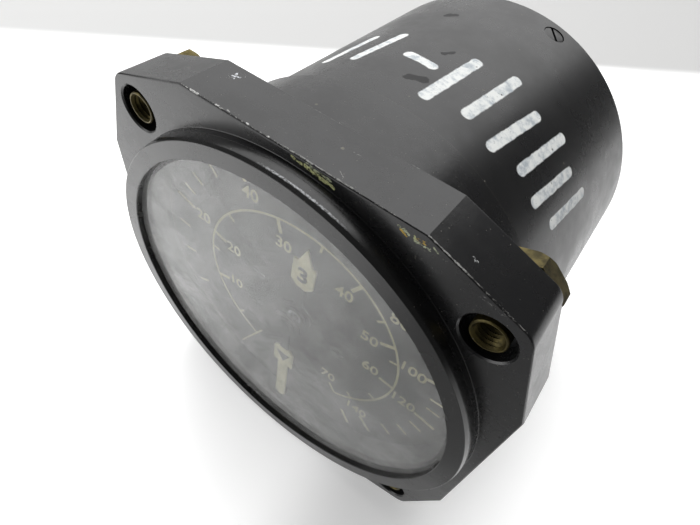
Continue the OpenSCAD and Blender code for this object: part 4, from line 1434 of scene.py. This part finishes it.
@dataclass
class Pointers:
    """The marks on the two pointers, and the paint of pointers and hubs."""

    short_tag: Place = (13.1, 86.0, 4.6)  # radius, angle and station
    long_tag: Place = (12.7, 268.5, 1.95)
    figure_size: float = 5.2
    bolder: float = 0.14
    mark: float = 1.9
    mark_stretch: float = 1.15
    print_thickness: float = 0.04

    def build(self) -> None:
        """Prints the tags and paints the pointers."""
        Work.words("short_tag_figure", "3", self.figure_size, polar(*self.short_tag),
                   self.print_thickness, self.bolder).finish(
                       "dial_black", "short_train", finish=INK)
        fresh()
        bpy.ops.mesh.primitive_circle_add(vertices=3, radius=self.mark * MM, fill_type="NGON",
                                          rotation=(math.pi / 2, 0, 0))
        mark = Work("long_tag_mark")
        mark.object.matrix_world = (
            moved(polar(*self.long_tag), -180) @ mark.object.matrix_world
            @ Matrix.Diagonal((1, self.mark_stretch, 1, 1)))
        settle()
        mark.pick(Part.FACES).extrude(-self.print_thickness)
        mark.tidy().finish("dial_black", "long_train", finish=INK)
        for node, finish in (("short_pointer", SHORT_PAINT), ("long_pointer", LONG_PAINT),
                             ("short_hub", HUB_BLACK), ("long_hub", HUB_BLACK),
                             ("pointer_cap", HUB_BLACK)):
            repaint(node, finish)


@dataclass
class AnchorNuts:
    """The four brass nuts pressed into the lugs, with their threads."""

    circle: float = 44.45
    turns: tuple[float, ...] = (-8.0, 5.0, 12.0, -17.0)
    front: float = 0.4
    flange: float = 9.4
    back: float = 12.3
    bore: float = 2.0
    sleeve: float = 2.6
    sleeve_chamfer: float = 0.15
    rim: float = 6.1
    face: float = 5.2
    slope: float = 0.95
    across: float = 10.0
    pitch: float = 0.7
    thread_depth: float = 0.32
    thread_end: float = 0.5
    mouth: float = 0.3

    def build(self) -> None:
        """Turns one nut with its thread, gives it its flats and copies it."""
        rows = int((self.back - self.front - 2 * self.thread_end) / self.pitch)
        top = self.front + self.thread_end
        thread = [(self.bore + (self.thread_depth if step % 2 else 0.0),
                   top + step * self.pitch / 2) for step in range(2 * rows + 1)]
        blank = Work.turned("nut_blank", [
            (self.sleeve, self.front + self.sleeve_chamfer), (self.sleeve, self.flange),
            (self.rim, self.flange), (self.rim, self.back - self.slope),
            (self.face, self.back), (self.bore + self.thread_end, self.back), *reversed(thread),
            (self.bore + self.mouth, self.front),
            (self.sleeve - self.sleeve_chamfer, self.front)], 72)
        blank.combine(Work.prism("nut flats", 6, self.across, 0, 20, Vector()), "INTERSECT")
        for corner, turn in enumerate(self.turns):
            nut = blank.copy(f"anchor_nut_{corner + 1}",
                             moved(polar(self.circle, 45 + 90 * corner), turn))
            nut.finish("nut_brass", stands_for=["anchor_nuts"], angle=28)
        blank.discard()


@dataclass
class Case:
    """The drawn case, its rear cover, its side screws and the filler plug."""

    outer: float = 38.2
    inner: float = 36.7
    front: float = 22.4
    back: float = 76.2
    chamfer: float = 0.15
    rounding: float = 0.9
    screw_station: float = 71.3
    screw_angles: tuple[float, ...] = (76.0, 196.0, 316.0)
    slot_turns: tuple[float, ...] = (-49.5, 20.0, 65.0)
    screw_seat: float = 0.1
    hole: float = 2.35
    hole_depth: float = 8.0
    cover: float = 36.6
    cover_front: float = 73.0
    cover_back: float = 75.5
    cover_chamfer: float = 0.3
    cover_hole: float = 9.6
    cover_middle: float = 15.0
    skirt: float = 34.0
    skirt_front: float = 67.4
    plug_place: Place = (0, 0, 25.0)
    plug_flats: float = 6.0
    plug: Outline = (
        (0, 73.2), (2.0, 73.2), (2.0, 75.5), (3.2, 75.5), (3.2, 75.8), (3.6, 75.8),
        (3.6, 77.2), (3.0, 77.7), (1.2, 77.7), (1.0, 77.4), (0, 77.4))

    def build(self) -> None:
        """Turns the tube and cover, drills them and puts the screws in."""
        tube = Work.turned("case_shell", [
            (self.inner, self.front), (self.outer - self.chamfer, self.front),
            (self.outer, self.front + self.chamfer),
            *arc((self.outer - self.rounding, self.back - self.rounding), self.rounding,
                 0, 90, 8), (self.inner, self.back)], 192)
        for angle in self.screw_angles:
            tube.combine(self.drill(angle))
        tube.finish("case_enamel", stands_for=["case_tube"])
        Work.turned("back_cover", [
            (self.cover_hole, self.cover_front), (self.cover_hole, self.cover_back),
            (self.cover_middle, self.cover_back),
            (self.cover - self.cover_chamfer, self.cover_back),
            (self.cover, self.cover_back - self.cover_chamfer), (self.cover, self.skirt_front),
            (self.skirt, self.skirt_front), (self.skirt, self.cover_front)], 160).finish(
                "case_enamel", stands_for=["rear_cover"])
        self.screws()
        self.filler()

    def drill(self, angle: float) -> Work:
        """Adds the cutter of a screw's hole, which points out of the case's side.

        Args:
            angle: Angle of the screw round the case, in degrees.

        Returns:
            The cutter.
        """
        fresh()
        bpy.ops.mesh.primitive_cylinder_add(
            vertices=48, radius=self.hole * MM, depth=self.hole_depth * MM,
            location=polar(self.outer, angle, self.screw_station) * MM,
            rotation=(0, math.radians(90 - angle), 0))
        work = Work("case_drill")
        settle()
        return work

    def screws(self) -> None:
        """Models one slotted cheese-head screw and sets a copy in each hole."""
        screw = slotted_screw("case_screw_pattern", head=2.27, height=1.5, shank=1.2,
                              length=4.0, slot=0.6, depth=0.6)
        for number, (angle, turn) in enumerate(zip(self.screw_angles, self.slot_turns)):
            out = polar(1.0, angle)
            axes = Matrix((out.cross(Vector((0, 1, 0))), -out, Vector((0, 1, 0)))).transposed()
            seat = polar(self.outer - self.screw_seat, angle, self.screw_station)
            place = (Matrix.Translation(seat * MM) @ axes.to_4x4()
                     @ Matrix.Rotation(math.radians(turn), 4, "Y"))
            screw.copy(f"case_screw_{number + 1}", place).finish(
                "black_screws", stands_for=["case_screws"], finish=SCREW_PAINT)
        screw.discard()

    def filler(self) -> None:
        """Turns the filler plug with its washer face and gives it its flats."""
        place = Vector(self.plug_place)
        plug = Work.turned("filling_plug", self.plug, 64, place)
        plug.combine(Work.prism("plug flats", 6, self.plug_flats, 70, 80, place), "INTERSECT")
        plug.finish("steel", stands_for=["filler_plug"], angle=28)


def slotted_screw(name: str, head: float, height: float, shank: float, length: float,
                  slot: float, depth: float) -> Work:
    """Turns a slotted screw along Y, its head's top at the origin facing the front.

    Args:
        name: The pattern's name.
        head: Radius of the head.
        height: Height of the head.
        shank: Radius of the shank.
        length: Overall length.
        slot: Width of the slot.
        depth: Depth of the slot.

    Returns:
        The screw.
    """
    screw = Work.turned(name, [
        (0, 0), (head - 0.3, 0), (head - 0.08, 0.08), (head, 0.3), (head, height),
        (shank, height), (shank, length - 0.3), (shank - 0.3, length), (0, length)], 48)
    return screw.combine(Work.plate("slot", 3 * head, slot, -1.0, depth))


@dataclass
class Connector:
    """The round electrical connector on the rear cover."""

    flange: float = 26.0
    corner: float = 1.2
    edge: float = 0.25
    front: float = 76.3
    back: float = 77.9
    end: float = 90.9
    outer: float = 11.0
    inner: float = 9.6
    bore: float = 10.4
    foot: float = 10.6
    root: float = 0.6
    chamfer: float = 0.35
    overlap: float = 0.2
    mouth: float = 0.2
    groove: Outline = ((0.0, 6.4), (0.35, 6.2), (0.35, 5.4), (0.0, 5.2))
    key_angles: tuple[float, ...] = (90, 210, 330)
    key: Outline = (
        (0, 5.0), (0.85, 5.0), (1.0, 4.85), (1.0, 3.15), (0.85, 3.0), (0, 3.0))
    screw_place: float = 10.0
    screw_head: float = 1.3
    screws: tuple[Place, ...] = (  # signs of X and Z, and the slot's angle
        (1, 1, 20), (-1, 1, 75), (-1, -1, -30), (1, -1, 50))

    def build(self) -> None:
        """Models the flange, the barrel with its keys, and the screws."""
        shell = Work.plate("connector_body", self.flange, self.flange, self.front, self.back,
                           self.corner)
        shell.pick(Part.EDGES, at_station(self.back)).bevel(self.edge, 2)
        shell.tidy()
        shell.combine(Work.turned("barrel_bore", [
            (0, 70), (self.bore, 70), (self.bore, 80), (0, 80)], 96))
        foot = self.outer + self.root
        shell.combine(Work.turned("barrel", [
            (self.inner, self.front), (self.foot, self.front),
            (self.foot, self.back - self.overlap), (foot, self.back - self.overlap),
            *arc((foot, self.back + self.root), self.root, 270, 180, 4),
            *[(self.outer - deep, self.end - place) for deep, place in self.groove],
            (self.outer, self.end - self.chamfer), (self.outer - self.chamfer, self.end),
            (self.inner + self.mouth, self.end), (self.inner, self.end - self.mouth)], 128),
                      "UNION")
        for angle in self.key_angles:
            outline = [(radius, self.end - place) for radius, place in self.key]
            shell.combine(Work.turned("bayonet_key", outline, 24, polar(self.outer, angle)),
                          "UNION")
        shell.finish("connector_shell", stands_for=["connector_shell"])
        screw = slotted_screw("connector_screw_pattern", head=2.0, height=self.screw_head,
                              shank=1.1, length=5.8, slot=0.5, depth=0.6)
        for number, (x, z, turn) in enumerate(self.screws):
            place = Vector((x * self.screw_place, self.back + self.screw_head,
                            z * self.screw_place))
            screw.copy(f"connector_screw_{number + 1}", moved(place)
                       @ Matrix.Rotation(math.pi, 4, "X")
                       @ Matrix.Rotation(math.radians(turn), 4, "Y")).finish(
                           "steel", stands_for=["connector_screws"])
        screw.discard()


def repaint(node: str, finish: Finish) -> None:
    """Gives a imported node's object a finish of its own.

    Args:
        node: The node's name.
        finish: Its finish.
    """
    shape = frame["nodes"][node]
    shape.data.materials.clear()
    shape.data.materials.append(finish.material())


def dress_nodes() -> None:
    """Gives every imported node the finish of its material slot."""
    for part in frame["record"]["subparts"]:
        repaint(part["node"], FINISHES[part["material_slot"]])
    LOG.info("packed nodes dressed: %d", len(frame["nodes"]))


# Studio


@dataclass(frozen=True)
class Lamp:
    """A square soft lamp that faces the object, its place and size in metres."""

    name: str
    place: Place
    size: float
    power: float
    mirrored: bool = True


@dataclass
class Studio:
    """The camera, the white floor, the soft sky and the lamps.

    The camera's place, the floor's height and the patch of light are in millimetres. The
    floor's size, the limits on it and the reach of the patch are in metres.
    """

    eye: Place = (31.2, -37.1, 80.1)
    right: Place = (0.79151, 0.59827, 0.12482)
    up: Place = (-0.53170, 0.57341, 0.62330)
    ahead: Place = (-0.30132, 0.55972, -0.77197)
    lens: float = 25.1
    sensor: float = 36.0
    clip: float = 0.005
    floor_size: float = 6.0
    floor_height: float = -41.25
    floor_start: float = 9.4
    floor_slope: float = 0.04566
    floor_gap: float = 0.05
    paper_slope: float = 0.853
    paper_edge: Span = (0.218, 0.23)
    paper_grain: Wave = (9.0, 4.0, 0.55)
    paper_roughness: float = 0.95
    paper_gloss: float = 0.1
    paper_tones: tuple[Tone, Tone] = ((0.88, 0.88, 0.88, 1), (0.8, 0.8, 0.797, 1))
    table_blend: Span = (-0.3, 0.2)
    table_tones: tuple[Tone, Tone] = ((0.66, 0.66, 0.655, 1), (0.58, 0.578, 0.574, 1))
    shade_right: Span = (-0.03, 0.02)
    shade_front: Span = (-0.014, -0.025)
    shade_tone: Tone = (0.45, 0.45, 0.45, 1)
    glow_right: Span = (0.008, 0.028)
    glows: Pair = (0.55, 0.33)
    patch: Place = (-110.0, -60.0, -44.0)
    patch_reach: Span = (0.02, 0.12)
    patch_light: float = 0.45
    window_back: Span = (0.12, 0.36)
    window_right: Span = (0.16, 0.27)
    window_light: float = 0.9
    window_rise: float = 3.2
    window_most: float = 3.4
    room_light: float = 0.1
    lamps: tuple[Lamp, ...] = (
        Lamp("overhead soft light", (-0.25, 0.25, 0.95), 0.7, 7.0, mirrored=False),
        Lamp("low front light", (-0.42, -0.42, 0.06), 0.5, 2.2),
    )

    def build(self) -> None:
        """Sets up everything that isn't part of the object."""
        self.camera()
        self.floor()
        self.sky()
        self.lights()
        bpy.context.scene.view_settings.view_transform = "Standard"

    def camera(self) -> None:
        """Puts the camera where the photograph was taken from."""
        data = bpy.data.cameras.new("camera")
        data.lens, data.sensor_width, data.clip_start = self.lens, self.sensor, self.clip
        camera = bpy.data.objects.new("camera", data)
        bpy.context.scene.collection.objects.link(camera)
        axes = Matrix((self.right, self.up, [-v for v in self.ahead])).transposed()
        camera.matrix_world = Matrix.Translation(Vector(self.eye) * MM) @ axes.to_4x4()
        bpy.context.scene.camera = camera

    def floor(self) -> None:
        """Lays the sheet that the object lies on, tilted as the object is."""
        fresh()
        height = self.floor_height - self.floor_start * self.floor_slope - self.floor_gap
        bpy.ops.mesh.primitive_plane_add(size=self.floor_size, location=(0, 0, height * MM),
                                         rotation=(math.atan(self.floor_slope), 0, 0))
        floor = Work("floor")
        settle()
        made = bpy.data.materials.new("white paper")
        made.use_nodes = True
        self.paper(Tree(made.node_tree), made.node_tree.nodes["Principled BSDF"])
        floor.object.data.materials.append(made)

    def paper(self, tree: Tree, shader: bpy.types.Node) -> None:
        """Feeds the floor's shader.

        White paper reaches to a slanting edge, with a table beyond it, paler towards the left. The
        paper glows where it is seen or mirrored, more on the left and in a patch at the front
        left: painted light. Mirrored, it is dark in front and on the right: painted shade.

        Args:
            tree: The material's nodes.
            shader: The material's surface shader.
        """
        position = tree.node("TexCoord").outputs["Object"]
        x, y, _ = tree.node("SeparateXYZ", {0: position}).outputs
        far = tree.step(tree.minus(y, tree.times(x, self.paper_slope)), *self.paper_edge)
        path = tree.node("LightPath").outputs
        mirrored = tree.most(path["Is Glossy Ray"], path["Is Transmission Ray"])
        # painted shade: the paper is darkened in front and on the right, in reflections only
        shade = tree.times(tree.step(x, *self.shade_right), tree.step(y, *self.shade_front),
                           mirrored)
        paper = tree.blend(tree.noise(position, *self.paper_grain), *self.paper_tones)
        paper = tree.blend(shade, paper, self.shade_tone)
        table = tree.blend(tree.step(x, *self.table_blend), *self.table_tones)
        tree.feed(shader.inputs["Base Color"], tree.blend(far, paper, table))
        # painted light: the paper glows for camera and mirrored rays, more on the left and in a
        # patch at the front left
        reach = tree.vector("DISTANCE", position, tuple(v * MM for v in self.patch))
        glow = tree.times(
            tree.maths("ADD", tree.step(x, *self.glow_right, *self.glows),
                       tree.step(reach, *self.patch_reach, self.patch_light, 0.0)),
            tree.minus(1.0, tree.most(far, shade)), tree.most(path["Is Camera Ray"], mirrored))
        shader.inputs["Emission Color"].default_value = (1, 1, 1, 1)
        tree.feed(shader.inputs["Emission Strength"], glow)
        shader.inputs["Roughness"].default_value = self.paper_roughness
        shader.inputs["Specular IOR Level"].default_value = self.paper_gloss

    def sky(self) -> None:
        """Fills the room: a bright window behind, dark in front and on the right."""
        world = bpy.data.worlds.new("room")
        bpy.context.scene.world = world
        world.use_nodes = True
        tree = Tree(world.node_tree)
        x, y, z = tree.node("SeparateXYZ", {0: tree.node("TexCoord").outputs["Generated"]}).outputs
        window = tree.times(tree.step(y, *self.window_back),
                            tree.step(x, *self.window_right, 1.0, 0.0))
        rise = tree.most(z, 0.0)
        bright = tree.maths("MINIMUM", self.window_most, tree.maths(
            "ADD", self.window_light, tree.times(rise, rise, self.window_rise)))
        room = tree.maths("ADD", self.room_light,
                          tree.times(window, tree.minus(bright, self.room_light)))
        seen = tree.node("LightPath").outputs["Is Camera Ray"]
        background = world.node_tree.nodes["Background"].inputs
        tree.feed(background["Strength"], tree.maths(
            "ADD", seen, tree.times(tree.minus(1.0, seen), room)))
        background["Color"].default_value = (1, 1, 1, 1)

    def lights(self) -> None:
        """Hangs the soft lamps."""
        for lamp in self.lamps:
            data = bpy.data.lights.new(lamp.name, "AREA")
            data.size, data.energy = lamp.size, lamp.power
            hung = bpy.data.objects.new(lamp.name, data)
            bpy.context.scene.collection.objects.link(hung)
            hung.location = lamp.place
            hung.rotation_euler = (-Vector(lamp.place)).to_track_quat("-Z", "Y").to_euler()
            hung.visible_glossy = lamp.mirrored


def main() -> None:
    """Builds the studio and the object, sub-assembly by sub-assembly."""
    logging.basicConfig(level=logging.INFO, format="%(message)s")
    dress_nodes()
    for assembly in (Studio(), Housing(), Bezel(), Dial(), Pointers(), AnchorNuts(), Case(),
                     Connector()):
        LOG.info("building %s", type(assembly).__name__)
        assembly.build()


if __name__ == "__main__":
    main()
